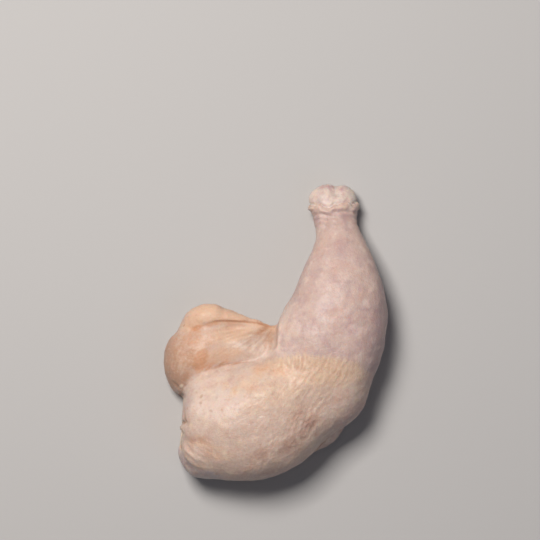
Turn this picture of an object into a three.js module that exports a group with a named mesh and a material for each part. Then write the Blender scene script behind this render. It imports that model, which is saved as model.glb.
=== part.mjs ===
// A raw whole chicken leg: drumstick and thigh in one piece, with its skin on.
// It lies on its inner side with the outer skin up, bent at the knee into a U.
// Millimetres, +Z up. The origin is at the middle of the leg's box, on the surface that it lies on.
// +Y runs along the drumstick towards the hock, and +X is the drumstick's side.

import * as THREE from "three";

// Driving sizes of the whole leg
const THIGH_WIDTH = 57.5;
const DRUMSTICK_WIDTH = 52;
const ANKLE_WIDTH = 20;
const HOCK_WIDTH = 25;
const FLAP_WIDTH = 36; // the lobe of skin and fat on the thigh's inner edge

// Joints of the skeleton that the meat follows
const HIP = new THREE.Vector3(-33, -50, 17);
const KNEE = new THREE.Vector3(26.5, -26.5, 18);
const HOCK = new THREE.Vector3(30.5, 69.5, 8.5);

// How softly one part runs into the next
const MEAT_BLEND = 10;
const SKIN_BLEND = 3.6;
const BONE_BLEND = 6;
const FOLD_BLEND = 2;
const RIM_BLEND = 9; // the rounding of the skin's edge over the cut end of the thigh
const TABLE_BLEND = 7; // the rounding where the soft meat spreads on the table
const TABLE_DIP = 1; // how far the rounded underside reaches below the table before it is pressed flat

// How square the round parts are pressed: 2 is an ellipse
const MEAT_SQUARENESS = 2.35;
const SKIN_SQUARENESS = 2.1;

const SKIN_COLOUR = 0xe0c0ae;

// The room that the leg is modelled in, and the edge of one cell of the grid that divides it
const ROOM = new THREE.Box3(new THREE.Vector3(-70, -90, -15), new THREE.Vector3(70, 90, 60));
const CELL = 2.7;
const CELL_EDGES = 12;
const CELL_MARGIN = 0.01; // the share of a cell that a vertex keeps from its sides
const PULL_ROUNDS = 3;
const PULL_STEP = 0.27;
const LEAST_SLOPE = 0.5;
const RELAX_SHARE = 0.5; // how far a vertex moves to the middle of its neighbours

const LIMB_STEPS = 24;

// Each limb is a tube along a line that bends from one point through a second to a third. Its radius swells
// from the start to a belly and shrinks to the end, and flat is its height over its width.
const THIGH = {
  from: HIP,
  through: new THREE.Vector3(-4.5, -44, 19.5),
  to: KNEE,
  startRadius: 25,
  bellyRadius: THIGH_WIDTH / 2,
  bellyAt: 0.42,
  endRadius: 19.5,
  flat: 0.88,
  square: MEAT_SQUARENESS,
};

// The drumstick thins towards the ankle and comes down to the table there.
const DRUMSTICK = {
  from: KNEE,
  through: new THREE.Vector3(34.5, 22, 18),
  to: new THREE.Vector3(32, 60.5, 9.5),
  startRadius: 21,
  bellyRadius: DRUMSTICK_WIDTH / 2,
  bellyAt: 0.27,
  endRadius: ANKLE_WIDTH / 2,
  flat: 0.88,
  square: MEAT_SQUARENESS,
};

// The calf muscle bulges over the bend between drumstick and flap.
const CALF = {
  from: new THREE.Vector3(19, -12, 18),
  through: new THREE.Vector3(20, -4.5, 18.5),
  to: new THREE.Vector3(23, 3, 18),
  startRadius: 15,
  bellyRadius: 20,
  bellyAt: 0.6,
  endRadius: 16,
  flat: 0.95,
  square: MEAT_SQUARENESS,
};

// The fat lobe of the flap, beside the thigh
const FLAP_LOBE = {
  from: new THREE.Vector3(-41, -19, 8),
  through: new THREE.Vector3(-42.3, -12.5, 10.5),
  to: new THREE.Vector3(-36.5, -1.8, 11),
  startRadius: 14.5,
  bellyRadius: FLAP_WIDTH * 0.42,
  bellyAt: 0.5,
  endRadius: 12,
  flat: 0.97,
  square: SKIN_SQUARENESS,
};

// The skin stretched from the lobe to the bend
const FLAP_WEB = {
  from: new THREE.Vector3(-30, -8, 11),
  through: new THREE.Vector3(-14, -8, 12),
  to: new THREE.Vector3(4, -10, 13),
  startRadius: 12,
  bellyRadius: 12.5,
  bellyAt: 0.5,
  endRadius: 11,
  flat: 1.05,
  square: SKIN_SQUARENESS,
};

// The rolled edge along the top of the flap
const FLAP_ROLL = {
  from: new THREE.Vector3(-44.5, 4, 12.5),
  through: new THREE.Vector3(-30.5, 9.2, 16),
  to: new THREE.Vector3(2, 2.9, 15),
  startRadius: 4.7,
  bellyRadius: 7.2,
  bellyAt: 0.36,
  endRadius: 1.6,
  flat: 1.1,
  square: 2,
};

// The tail of the flap tucked under the hip end of the thigh
const FLAP_TAIL = {
  from: new THREE.Vector3(-47, -20, 7),
  through: new THREE.Vector3(-47.5, -25, 6),
  to: new THREE.Vector3(-44, -26, 7),
  startRadius: 8,
  bellyRadius: 6.8,
  bellyAt: 0.5,
  endRadius: 4.4,
  flat: 1,
  square: 2,
};

// The lower layer of skin that shows under the cut end of the thigh
const UNDER_LIP = {
  from: new THREE.Vector3(-43, -54, 4),
  through: new THREE.Vector3(-42.1, -64.5, 5),
  to: new THREE.Vector3(-27, -69.8, 4),
  startRadius: 3,
  bellyRadius: 5.5,
  bellyAt: 0.45,
  endRadius: 4,
  flat: 0.9,
  square: 2,
};

// A loose fold of skin along the outside of the knee
const KNEE_FOLD = {
  from: new THREE.Vector3(40, -35, 5),
  through: new THREE.Vector3(28.5, -48.5, 4.5),
  to: new THREE.Vector3(17.5, -58.5, 4),
  startRadius: 3.2,
  bellyRadius: 7.1,
  bellyAt: 0.5,
  endRadius: 4.6,
  flat: 1,
  square: 2,
};

// The hamstrings fill the inside of the bend.
const HAMSTRING = {
  from: new THREE.Vector3(-4, -33, 18),
  through: new THREE.Vector3(12, -25, 19),
  to: new THREE.Vector3(25, -9, 18),
  startRadius: 18,
  bellyRadius: 19.5,
  bellyAt: 0.5,
  endRadius: 18,
  flat: 1.02,
  square: MEAT_SQUARENESS,
};

// The loose skin of the thigh that hangs over the edge of the flap
const OVERHANG = {
  from: new THREE.Vector3(-41.5, -30.5, 17.5),
  through: new THREE.Vector3(-32, -25.4, 20),
  to: new THREE.Vector3(-20, -22.5, 21),
  startRadius: 4.8,
  bellyRadius: 7,
  bellyAt: 0.42,
  endRadius: 3.5,
  flat: 1,
  square: 2,
};

// The plane where the leg was cut from the body, and the hollow of drawn-back meat in it
const HIP_CUT = new THREE.Plane(new THREE.Vector3(-1, 0.04, 0.12).normalize(), 0);
HIP_CUT.translate(new THREE.Vector3(-49.3, -50, 16));
const HIP_HOLLOW = {
  centre: new THREE.Vector3(-54, -48, 13),
  reach: new THREE.Vector3(10, 15, 9),
};

// Folds in the skin's edge, where it has drawn together round the cut. Each has its turn about the thigh's
// axis from +Y towards +Z, its half width there in radians, its depth, and how far it runs from the edge.
const RIM_FOLDS = [
  { turn: 1.32, width: 0.14, depth: 2.4, reach: 12 },
  { turn: 1.86, width: 0.17, depth: 3, reach: 15 },
  { turn: 2.6, width: 0.18, depth: 2.2, reach: 17 },
  { turn: 3.3, width: 0.22, depth: 1.6, reach: 12 },
  { turn: 0.6, width: 0.2, depth: 1.5, reach: 10 },
];

// The bare end of the bone: a neck, and two knuckles side by side
const NECK_RADIUS = ANKLE_WIDTH * 0.42;
const NECK_LENGTH = 8;
const KNUCKLE_RADIUS = HOCK_WIDTH * 0.3;
const KNUCKLE_SPREAD = HOCK_WIDTH * 0.41;
const KNUCKLE_TILT = 0.12;

const smooth = (t) => t * t * (3 - 2 * t);

// The stations of a limb: centre and radius at even steps along its bent line.
function stationsOf(limb) {
  const bend = limb.through
    .clone()
    .multiplyScalar(2)
    .addScaledVector(limb.from, -0.5)
    .addScaledVector(limb.to, -0.5);
  const spine = new THREE.QuadraticBezierCurve3(limb.from, bend, limb.to);
  const stations = [];
  for (let i = 0; i <= LIMB_STEPS; i++) {
    const t = i / LIMB_STEPS;
    const past = (t - limb.bellyAt) / (1 - limb.bellyAt);
    const radius =
      past < 0
        ? THREE.MathUtils.lerp(limb.startRadius, limb.bellyRadius, smooth(t / limb.bellyAt))
        : THREE.MathUtils.lerp(limb.bellyRadius, limb.endRadius, smooth(past));
    stations.push({ centre: spine.getPoint(t), radius });
  }
  return stations;
}

// How far a point lies outside a limb, negative inside.
function limbField(limb) {
  const stations = stationsOf(limb);
  const along = new THREE.Vector3();
  const out = new THREE.Vector3();
  return (point) => {
    let nearest = Infinity;
    for (let i = 0; i < LIMB_STEPS; i++) {
      const { centre: a, radius: ra } = stations[i];
      const { centre: b, radius: rb } = stations[i + 1];
      along.subVectors(b, a);
      out.subVectors(point, a);
      const t = THREE.MathUtils.clamp(out.dot(along) / along.lengthSq(), 0, 1);
      out.addScaledVector(along, -t);
      const across = Math.hypot(out.x, out.y) ** limb.square;
      const upright = Math.abs(out.z / limb.flat) ** limb.square;
      const distance = (across + upright) ** (1 / limb.square);
      nearest = Math.min(nearest, distance - THREE.MathUtils.lerp(ra, rb, t));
    }
    return nearest;
  };
}

// Two fields joined with a fillet of about that width.
function blend(a, b, width) {
  const h = Math.max(width - Math.abs(a - b), 0) / width;
  return Math.min(a, b) - (h * h * width) / 4;
}

const thigh = limbField(THIGH);
const drumstick = limbField(DRUMSTICK);
const calf = limbField(CALF);
const lobe = limbField(FLAP_LOBE);
const web = limbField(FLAP_WEB);
const roll = limbField(FLAP_ROLL);
const tail = limbField(FLAP_TAIL);
const underLip = limbField(UNDER_LIP);
const kneeFold = limbField(KNEE_FOLD);
const hamstring = limbField(HAMSTRING);
const overhang = limbField(OVERHANG);

// The hock: a bony neck that ends in two round knuckles with a groove between them.
function hock(point) {
  const across = KNUCKLE_SPREAD / 2;
  const rise = across * KNUCKLE_TILT;
  const left = Math.hypot(point.x - HOCK.x + across, point.y - HOCK.y, point.z - HOCK.z - rise);
  const right = Math.hypot(point.x - HOCK.x - across, point.y - HOCK.y, point.z - HOCK.z + rise);
  const knuckles = blend(left - KNUCKLE_RADIUS, right - KNUCKLE_RADIUS, FOLD_BLEND);
  const along = THREE.MathUtils.clamp(HOCK.y - point.y, 0, NECK_LENGTH);
  const neck = Math.hypot(point.x - HOCK.x, point.y - HOCK.y + along, point.z - HOCK.z) - NECK_RADIUS;
  return blend(knuckles, neck, BONE_BLEND);
}

// An egg-shaped hollow. The value is close to a distance near its wall.
function hollow({ centre, reach }, point) {
  const inside = point.clone().sub(centre).divide(reach).length();
  return (inside - 1) * Math.min(reach.x, reach.y, reach.z);
}

// How deep the folds in the skin's edge are at a point.
function rimFolds(point) {
  const turn = Math.atan2(point.z - HIP.z, point.y - HIP.y);
  const inward = -HIP_CUT.distanceToPoint(point);
  let deepest = 0;
  for (const fold of RIM_FOLDS) {
    const aside = THREE.MathUtils.euclideanModulo(turn - fold.turn + Math.PI, 2 * Math.PI) - Math.PI;
    const fade = smooth(THREE.MathUtils.clamp(1 - inward / fold.reach, 0, 1));
    deepest = Math.max(deepest, fold.depth * fade * Math.exp(-((aside / fold.width) ** 2)));
  }
  return deepest;
}

// A body with a field taken out of it, its edge rounded.
const carve = (body, tool, width) => -blend(-body, tool, width);

// The thigh with its blunt, hollowed end and the folds in its edge.
function cutThigh(point) {
  const loose = blend(thigh(point), overhang(point), MEAT_BLEND);
  const folded = loose + rimFolds(point);
  const blunt = carve(folded, -HIP_CUT.distanceToPoint(point), RIM_BLEND);
  return carve(blunt, hollow(HIP_HOLLOW, point), SKIN_BLEND);
}

// The whole leg as one field.
function leg(point) {
  const upper = blend(cutThigh(point), hamstring(point), MEAT_BLEND);
  const lower = blend(drumstick(point), calf(point), MEAT_BLEND);
  const joint = blend(blend(upper, lower, MEAT_BLEND), hock(point), BONE_BLEND);
  const fat = blend(blend(lobe(point), web(point), MEAT_BLEND), tail(point), SKIN_BLEND);
  const flap = blend(fat, roll(point), FOLD_BLEND);
  const skirts = Math.min(underLip(point), kneeFold(point));
  const whole = blend(blend(joint, flap, FOLD_BLEND), skirts, SKIN_BLEND);
  return carve(whole, point.z + TABLE_DIP, TABLE_BLEND);
}

// The closed surface where a field is zero. Each sheet of it gets one vertex in each cell that it passes
// through, and each grid edge that it crosses gives one quad between the four cells round that edge.
function surfaceOf(field, box, cell) {
  const size = box.getSize(new THREE.Vector3()).divideScalar(cell).ceil();
  const [nx, ny, nz] = size.toArray().map((n) => n + 1);
  const at = (i, j, k) => i + nx * (j + ny * k);
  const corner = (i, j, k) => new THREE.Vector3(i, j, k).multiplyScalar(cell).add(box.min);
  const values = new Float32Array(nx * ny * nz);
  for (let k = 0; k < nz; k++)
    for (let j = 0; j < ny; j++) for (let i = 0; i < nx; i++) values[at(i, j, k)] = field(corner(i, j, k));

  const vertexOf = new Map();
  const positions = [];
  for (let k = 0; k < nz - 1; k++)
    for (let j = 0; j < ny - 1; j++)
      for (let i = 0; i < nx - 1; i++) {
        const sheets = sheetsOf(crossingsOf(i, j, k), [i, j, k]);
        for (const crossings of sheets) {
          const middle = new THREE.Vector3();
          for (const crossing of crossings) middle.addScaledVector(crossing.place, 1 / crossings.length);
          if (sheets.length === 1) pullOnto(field, middle, corner(i, j, k), cell);
          for (const crossing of crossings)
            vertexOf.set(at(i, j, k) * CELL_EDGES + crossing.edge, positions.length / 3);
          positions.push(...middle.toArray());
        }
      }

  // The edges of one cell that the surface crosses, with the place of each crossing.
  function crossingsOf(i, j, k) {
    const crossings = [];
    for (let axis = 0; axis < 3; axis++)
      for (let side = 0; side < 4; side++) {
        const start = [i, j, k];
        start[(axis + 1) % 3] += side & 1;
        start[(axis + 2) % 3] += side >> 1;
        const end = [...start];
        end[axis] += 1;
        const a = values[at(...start)];
        const b = values[at(...end)];
        if (a < 0 === b < 0) continue;
        const place = corner(...start).lerp(corner(...end), a / (a - b));
        const inner = at(...(a < 0 ? start : end));
        crossings.push({ edge: axis * 4 + side, start, end, inner, place, sheet: crossings.length });
      }
    return crossings;
  }

  const faces = [];
  for (let k = 1; k < nz - 1; k++)
    for (let j = 1; j < ny - 1; j++)
      for (let i = 1; i < nx - 1; i++)
        for (let axis = 0; axis < 3; axis++) {
          const end = [i, j, k];
          end[axis] += 1;
          const inside = values[at(i, j, k)] < 0;
          if (inside === values[at(...end)] < 0) continue;
          const quad = [
            [0, 0],
            [1, 0],
            [1, 1],
            [0, 1],
          ].map(([u, v]) => {
            const cellAt = [i, j, k];
            cellAt[(axis + 1) % 3] -= u;
            cellAt[(axis + 2) % 3] -= v;
            return vertexOf.get(at(...cellAt) * CELL_EDGES + axis * 4 + u + 2 * v);
          });
          if (!inside) quad.reverse();
          faces.push(...splitQuad(quad, positions));
        }

  return new THREE.BufferGeometry()
    .setAttribute("position", new THREE.Float32BufferAttribute(relaxed(positions, faces), 3))
    .setIndex(faces);
}

// A cell's crossings in groups, one for each sheet of the surface. Two crossings are on one sheet where they
// are the only ones on a side of the cell, or where they lie round the same inner corner there.
function sheetsOf(crossings, cellAt) {
  for (let axis = 0; axis < 3; axis++)
    for (const level of [cellAt[axis], cellAt[axis] + 1]) {
      const onSide = crossings.filter(({ start, end }) => start[axis] === level && end[axis] === level);
      for (const a of onSide)
        for (const b of onSide) {
          if (onSide.length > 2 && a.inner !== b.inner) continue;
          const joined = b.sheet;
          for (const crossing of crossings) if (crossing.sheet === joined) crossing.sheet = a.sheet;
        }
    }
  const numbers = new Set(crossings.map(({ sheet }) => sheet));
  return [...numbers].map((number) => crossings.filter(({ sheet }) => sheet === number));
}

// The positions with each vertex moved part of the way to the middle of its neighbours.
function relaxed(positions, faces) {
  const sums = new Float64Array(positions.length);
  const counts = new Uint32Array(positions.length / 3);
  for (let f = 0; f < faces.length; f += 3)
    for (let side = 0; side < 3; side++) {
      const from = faces[f + side];
      const to = faces[f + ((side + 1) % 3)];
      counts[from] += 1;
      for (let axis = 0; axis < 3; axis++) sums[from * 3 + axis] += positions[to * 3 + axis];
    }
  return positions.map((value, n) => {
    const middle = sums[n] / counts[Math.floor(n / 3)];
    return THREE.MathUtils.lerp(value, middle, RELAX_SHARE);
  });
}

// Moves a point along the field's slope towards the surface, and keeps it inside its cell.
function pullOnto(field, point, low, cell) {
  const slope = new THREE.Vector3();
  const probe = new THREE.Vector3();
  for (let round = 0; round < PULL_ROUNDS; round++) {
    const here = field(point);
    for (const axis of ["x", "y", "z"]) {
      probe.copy(point)[axis] += PULL_STEP;
      slope[axis] = (field(probe) - here) / PULL_STEP;
    }
    point.addScaledVector(slope, -here / Math.max(slope.lengthSq(), LEAST_SLOPE ** 2));
  }
  const margin = cell * CELL_MARGIN;
  point.clamp(low.clone().addScalar(margin), low.clone().addScalar(cell - margin));
}

// A quad as two triangles along its shorter diagonal.
function splitQuad([a, b, c, d], positions) {
  const place = (n) => new THREE.Vector3().fromArray(positions, n * 3);
  const ac = place(a).distanceToSquared(place(c));
  const bd = place(b).distanceToSquared(place(d));
  return ac < bd ? [a, b, c, a, c, d] : [a, b, d, b, c, d];
}

// The leg's skin as a geometry, pressed flat where it lies and centred over the origin.
function legGeometry() {
  const geometry = surfaceOf(leg, ROOM, CELL);
  const places = geometry.getAttribute("position");
  for (let n = 0; n < places.count; n++) places.setZ(n, Math.max(places.getZ(n), 0));
  geometry.computeBoundingBox();
  const box = geometry.boundingBox;
  geometry.translate(-(box.min.x + box.max.x) / 2, -(box.min.y + box.max.y) / 2, 0);
  geometry.computeVertexNormals();
  return geometry;
}

const chickenLeg = new THREE.Mesh(
  legGeometry(),
  new THREE.MeshStandardMaterial({ color: SKIN_COLOUR, roughness: 0.42, metalness: 0 }),
);
chickenLeg.name = "chicken_leg";

const group = new THREE.Group();
group.add(chickenLeg);

export default group;
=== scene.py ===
"""A raw chicken leg, thigh and drumstick in one piece, lying on its inner side.

The skin is one closed surface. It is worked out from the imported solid, which gives it its main form,
and gets its folds, feather rows, wrinkles, follicles and cut ends here, in millimetres over that solid.
"""

from __future__ import annotations

import logging
import math
from collections.abc import Iterator, Mapping, Sequence
from dataclasses import dataclass, field
from enum import Enum

import bmesh
import bpy
import numpy as np
from bpy.types import ID, Material, Mesh, NodeSocket, NodeTree, Object, bpy_prop_collection
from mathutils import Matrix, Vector
from numpy.typing import NDArray


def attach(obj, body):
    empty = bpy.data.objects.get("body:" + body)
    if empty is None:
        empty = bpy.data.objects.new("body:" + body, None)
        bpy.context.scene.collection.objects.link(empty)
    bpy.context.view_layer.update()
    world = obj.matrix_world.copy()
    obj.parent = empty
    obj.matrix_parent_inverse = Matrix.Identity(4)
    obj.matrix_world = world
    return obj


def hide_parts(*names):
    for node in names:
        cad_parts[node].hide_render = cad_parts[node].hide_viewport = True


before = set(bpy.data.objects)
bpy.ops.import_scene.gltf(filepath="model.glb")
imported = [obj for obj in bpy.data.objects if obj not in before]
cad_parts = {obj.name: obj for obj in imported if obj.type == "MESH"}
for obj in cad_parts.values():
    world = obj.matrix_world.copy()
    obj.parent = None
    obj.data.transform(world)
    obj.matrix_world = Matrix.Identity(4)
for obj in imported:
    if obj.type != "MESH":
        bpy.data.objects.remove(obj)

Array = NDArray[np.float64]
Point = tuple[float, float]
Place = tuple[float, float, float]
Wave = tuple[int, float, float]

LOG = logging.getLogger("chicken_leg")
NODE = "chicken_leg"
BODY = "root"
MM = 0.001  # metres in a millimetre, the unit of the leg's sizes below
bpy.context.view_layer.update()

# What noise is made up of: how many finer layers it has, how strong each is and how far it is drawn about
SWELLING = {"Detail": 2.0}
CLOUDY = {"Detail": 3.0, "Roughness": 0.55, "Distortion": 0.3}
RAGGED = {"Detail": 4.0, "Roughness": 0.6}
GRITTY = {"Detail": 3.0, "Roughness": 0.6}


class Zone(Enum):
    """The kinds of skin and tissue that the leg shows, and the shade and light painted on it, each with an
    attribute of that name.
    """

    SHIN = "zone_shin"
    THIGH = "zone_thigh"
    FAT = "zone_fat"
    PALE_AND_PAINTED_LIGHT = "zone_pale_and_painted_light"
    PEACH = "zone_peach"
    GLOW = "zone_glow"
    MAUVE_AND_PAINTED_SHADE = "zone_mauve_and_painted_shade"
    FLUSH = "zone_flush_and_painted_shade"
    BRUISE = "zone_bruise"
    AMBER = "zone_amber"
    TAN = "zone_tan_and_painted_shade"
    LAYER = "zone_layer"
    RIM_AND_PAINTED_LIGHT = "zone_rim_and_painted_light"
    CREASE = "zone_crease_shade"
    PORE = "zone_pore"
    LARD = "zone_lard"
    MEAT = "zone_meat"
    GRISTLE = "zone_gristle"


class Ground(Enum):
    """The three stretches of skin that meet at the bend."""

    THIGH = "thigh"
    DRUMSTICK = "drumstick"
    FLAP = "flap"


class Side(Enum):
    """The side of a crease on which the skin bulges, for someone who walks along it."""

    LEFT = 1
    RIGHT = -1


def linear(code: str) -> tuple[float, float, float, float]:
    """Turns an sRGB colour into the linear values that Blender's sockets take.

    Args:
        code: The colour as "#rrggbb".

    Returns:
        Red, green, blue and an alpha of 1.
    """
    levels = (int(code[start : start + 2], 16) / 255 for start in (1, 3, 5))
    red, green, blue = (
        level / 12.92 if level <= 0.04045 else ((level + 0.055) / 1.055) ** 2.4 for level in levels
    )
    return red, green, blue, 1.0


def smooth_step(value: Array, low: float, high: float) -> Array:
    """Eases from 0 at low to 1 at high.

    Args:
        value: The numbers to ease.
        low: Where the result leaves 0.
        high: Where the result reaches 1.

    Returns:
        One number from 0 to 1 for each value.
    """
    share = np.clip((value - low) / (high - low), 0.0, 1.0)
    return share * share * (3.0 - 2.0 * share)


def hump(value: Array, width: float) -> Array:
    """Gives 1 where the value is 0, falling softly to 0 over the width on both sides."""
    return np.exp(-((value / width) ** 2))


def waves(turn: Array, terms: Sequence[Wave], start: Array | float = 0.0) -> Array:
    """Adds waves that run round an axis.

    Args:
        turn: The angle round the axis at each point.
        terms: For each wave, how often it comes in a turn, its height and its phase.
        start: What the waves are added to.

    Returns:
        The sum at each point.
    """
    return sum((height * np.sin(count * turn + phase) for count, height, phase in terms), start)


def add_node(
    tree: NodeTree,
    kind: str,
    inputs: Mapping[str | int, object] | None = None,
    output: str | int = 0,
    **settings: object,
) -> NodeSocket | None:
    """Adds one node with its settings, values and links.

    Args:
        tree: The node tree that gets it.
        kind: Blender's type name of the node.
        inputs: For an input's name or number, its value or the socket that feeds it.
        output: The name or number of the output that is wanted.
        **settings: The node's own properties.

    Returns:
        That output, or None for a node that has no outputs.
    """
    node = tree.nodes.new(kind)
    for name, value in settings.items():
        setattr(node, name, value)
    for name, value in (inputs or {}).items():
        if isinstance(value, NodeSocket):
            tree.links.new(value, node.inputs[name])
        else:
            node.inputs[name].default_value = value
    return node.outputs[output] if node.outputs else None


def vertices_of(mesh: Mesh) -> Array:
    """Reads a mesh's vertices.

    Args:
        mesh: The mesh.

    Returns:
        One row for each vertex, in millimetres.
    """
    places = np.zeros(len(mesh.vertices) * 3)
    mesh.vertices.foreach_get("co", places)
    return places.reshape(-1, 3) / MM


def move_vertices(mesh: Mesh, places: Array) -> None:
    """Moves a mesh's vertices, but none of them below the table.

    Args:
        mesh: The mesh.
        places: Where they go, one row each, in millimetres.
    """
    places[:, 2] = np.maximum(places[:, 2], 0.0)
    mesh.vertices.foreach_set("co", (places * MM).ravel())
    mesh.update()


def put_in_scene(name: str, data: ID) -> Object:
    """Makes an object in the scene.

    Args:
        name: Its name.
        data: Its mesh, light or camera.

    Returns:
        The object.
    """
    made = bpy.data.objects.new(name, data)
    bpy.context.scene.collection.objects.link(made)
    return made


def bake_modifiers(piece: Object) -> None:
    """Turns what a piece's modifiers make into its plain mesh.

    Args:
        piece: The piece, which has no modifiers left afterwards.
    """
    made = piece.evaluated_get(bpy.context.evaluated_depsgraph_get())
    mesh = bpy.data.meshes.new_from_object(made)
    piece.modifiers.clear()
    piece.data = mesh
    mesh.shade_smooth()


@dataclass
class Surface:
    """The leg's skin while it is being shaped.

    Attributes:
        mesh: Its mesh, in metres.
        places: The vertices, in millimetres.
        normals: Their normals.
        lift: How far each vertex is to be raised along its normal.
        slide: How far each vertex is to be moved level.
        marks: The numbers painted on the vertices, by attribute name.
        upper_slope: The Z of the normals where the upper skin begins and where it is full.
        outer_slope: The same for the outer skin.
    """

    mesh: Mesh
    places: Array
    normals: Array
    lift: Array
    slide: Array
    marks: dict[str, Array] = field(default_factory=dict)
    upper_slope: Point = (-0.3, 0.2)
    outer_slope: Point = (-0.95, -0.05)

    @classmethod
    def read(cls, mesh: Mesh) -> Surface:
        """Reads a mesh's vertices.

        Args:
            mesh: The mesh.

        Returns:
            The surface, with nothing gathered yet.
        """
        places = vertices_of(mesh)
        normals = np.zeros(places.size)
        mesh.vertex_normals.foreach_get("vector", normals)
        count = len(places)
        return cls(mesh, places, normals.reshape(-1, 3), np.zeros(count), np.zeros((count, 2)))

    @property
    def plan(self) -> Array:
        """The vertices seen from above."""
        return self.places[:, :2]

    @property
    def upper(self) -> Array:
        """How far each vertex faces up, from 0 underneath to 1 on top and on the upper flanks."""
        return smooth_step(self.normals[:, 2], *self.upper_slope)

    @property
    def outer(self) -> Array:
        """How far each vertex belongs to the outer side, from 0 underneath to 1 on flanks and top."""
        return smooth_step(self.normals[:, 2], *self.outer_slope)

    def mark(self, zone: Zone, values: Array) -> None:
        """Paints a zone, where each vertex keeps its strongest value.

        Args:
            zone: The zone.
            values: One number from 0 to 1 for each vertex.
        """
        self.marks[zone.value] = np.maximum(self.marks.get(zone.value, 0.0), values)

    def write(self) -> None:
        """Moves the vertices as gathered, keeps them above the table and stores what was painted."""
        moved = self.places + self.normals * self.lift[:, None]
        moved[:, :2] += self.slide
        move_vertices(self.mesh, moved)
        for name, values in self.marks.items():
            attribute = self.mesh.attributes.new(name, "FLOAT", "POINT")
            attribute.data.foreach_set("value", np.clip(values, 0.0, 1.0).astype(np.float32))


@dataclass(frozen=True)
class Route:
    """A smooth line across the skin, seen from above.

    Attributes:
        points: The points that it runs through.
        steps: How many samples it has from one point to the next.
    """

    points: tuple[Point, ...]
    steps: int = 8

    def samples(self) -> Array:
        """Works out the line as a Catmull-Rom curve.

        Returns:
            Close points along the line, one row each.
        """
        knots = np.array(self.points, float)
        knots = np.vstack([2 * knots[0] - knots[1], knots, 2 * knots[-1] - knots[-2]])
        share = np.linspace(0.0, 1.0, self.steps, endpoint=False)[:, None]
        rows = []
        for before, start, end, after in zip(knots, knots[1:], knots[2:], knots[3:]):
            square = 2 * before - 5 * start + 4 * end - after
            cube = 3 * start - before - 3 * end + after
            rows.append(0.5 * (2 * start + (end - before) * share + square * share**2 + cube * share**3))
        return np.vstack([*rows, knots[-2:-1]])

    def headings(self) -> Array:
        """Gives the line's direction at each of its samples."""
        heading = np.gradient(self.samples(), axis=0)
        return heading / np.linalg.norm(heading, axis=1, keepdims=True)

    def measure(self, plan: Array) -> tuple[Array, Array, Array]:
        """Measures points against the line.

        Args:
            plan: The points, seen from above.

        Returns:
            Each point's distance, its signed distance, which is positive on the left, and the number
            of the line's sample that it is nearest to.
        """
        line = self.samples()
        nearest = np.zeros(len(plan), int)
        best = np.full(len(plan), np.inf)
        for number, point in enumerate(line):
            gap = np.sum((plan - point) ** 2, axis=1)
            closer = gap < best
            best[closer] = gap[closer]
            nearest[closer] = number
        heading = self.headings()[nearest]
        offset = plan - line[nearest]
        along = np.sum(heading * offset, axis=1)
        signed = heading[:, 0] * offset[:, 1] - heading[:, 1] * offset[:, 0]
        inner = (nearest > 0) & (nearest < len(line) - 1)
        return np.where(inner, np.abs(signed), np.hypot(signed, along)), signed, nearest


@dataclass(frozen=True)
class Patch:
    """A soft oval area of the skin, seen from above.

    Attributes:
        x: The middle of the oval.
        y: The middle of the oval.
        reach: Half the length of the oval.
        width: Half the width of the oval.
        turn: The direction of its length, in degrees from +X.
        weight: How strong it is.
        soft: The share of its size over which its edge fades.
    """

    x: float
    y: float
    reach: float
    width: float
    turn: float = 0.0
    weight: float = 1.0
    soft: float = 0.6

    def cover(self, plan: Array) -> Array:
        """Gives how strongly the oval covers each point.

        Args:
            plan: The points, seen from above.

        Returns:
            One number from 0 to the oval's weight for each point.
        """
        turn = math.radians(self.turn)
        x, y = plan[:, 0] - self.x, plan[:, 1] - self.y
        along = (x * math.cos(turn) + y * math.sin(turn)) / self.reach
        across = (y * math.cos(turn) - x * math.sin(turn)) / self.width
        return self.weight * (1.0 - smooth_step(np.hypot(along, across), 1.0 - self.soft, 1.0 + self.soft))


def covered(patches: Sequence[Patch], plan: Array) -> Array:
    """Gives how strongly several ovals together cover each point.

    Args:
        patches: The ovals.
        plan: The points, seen from above.

    Returns:
        The strongest cover at each point.
    """
    return np.maximum.reduce([patch.cover(plan) for patch in patches])


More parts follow.
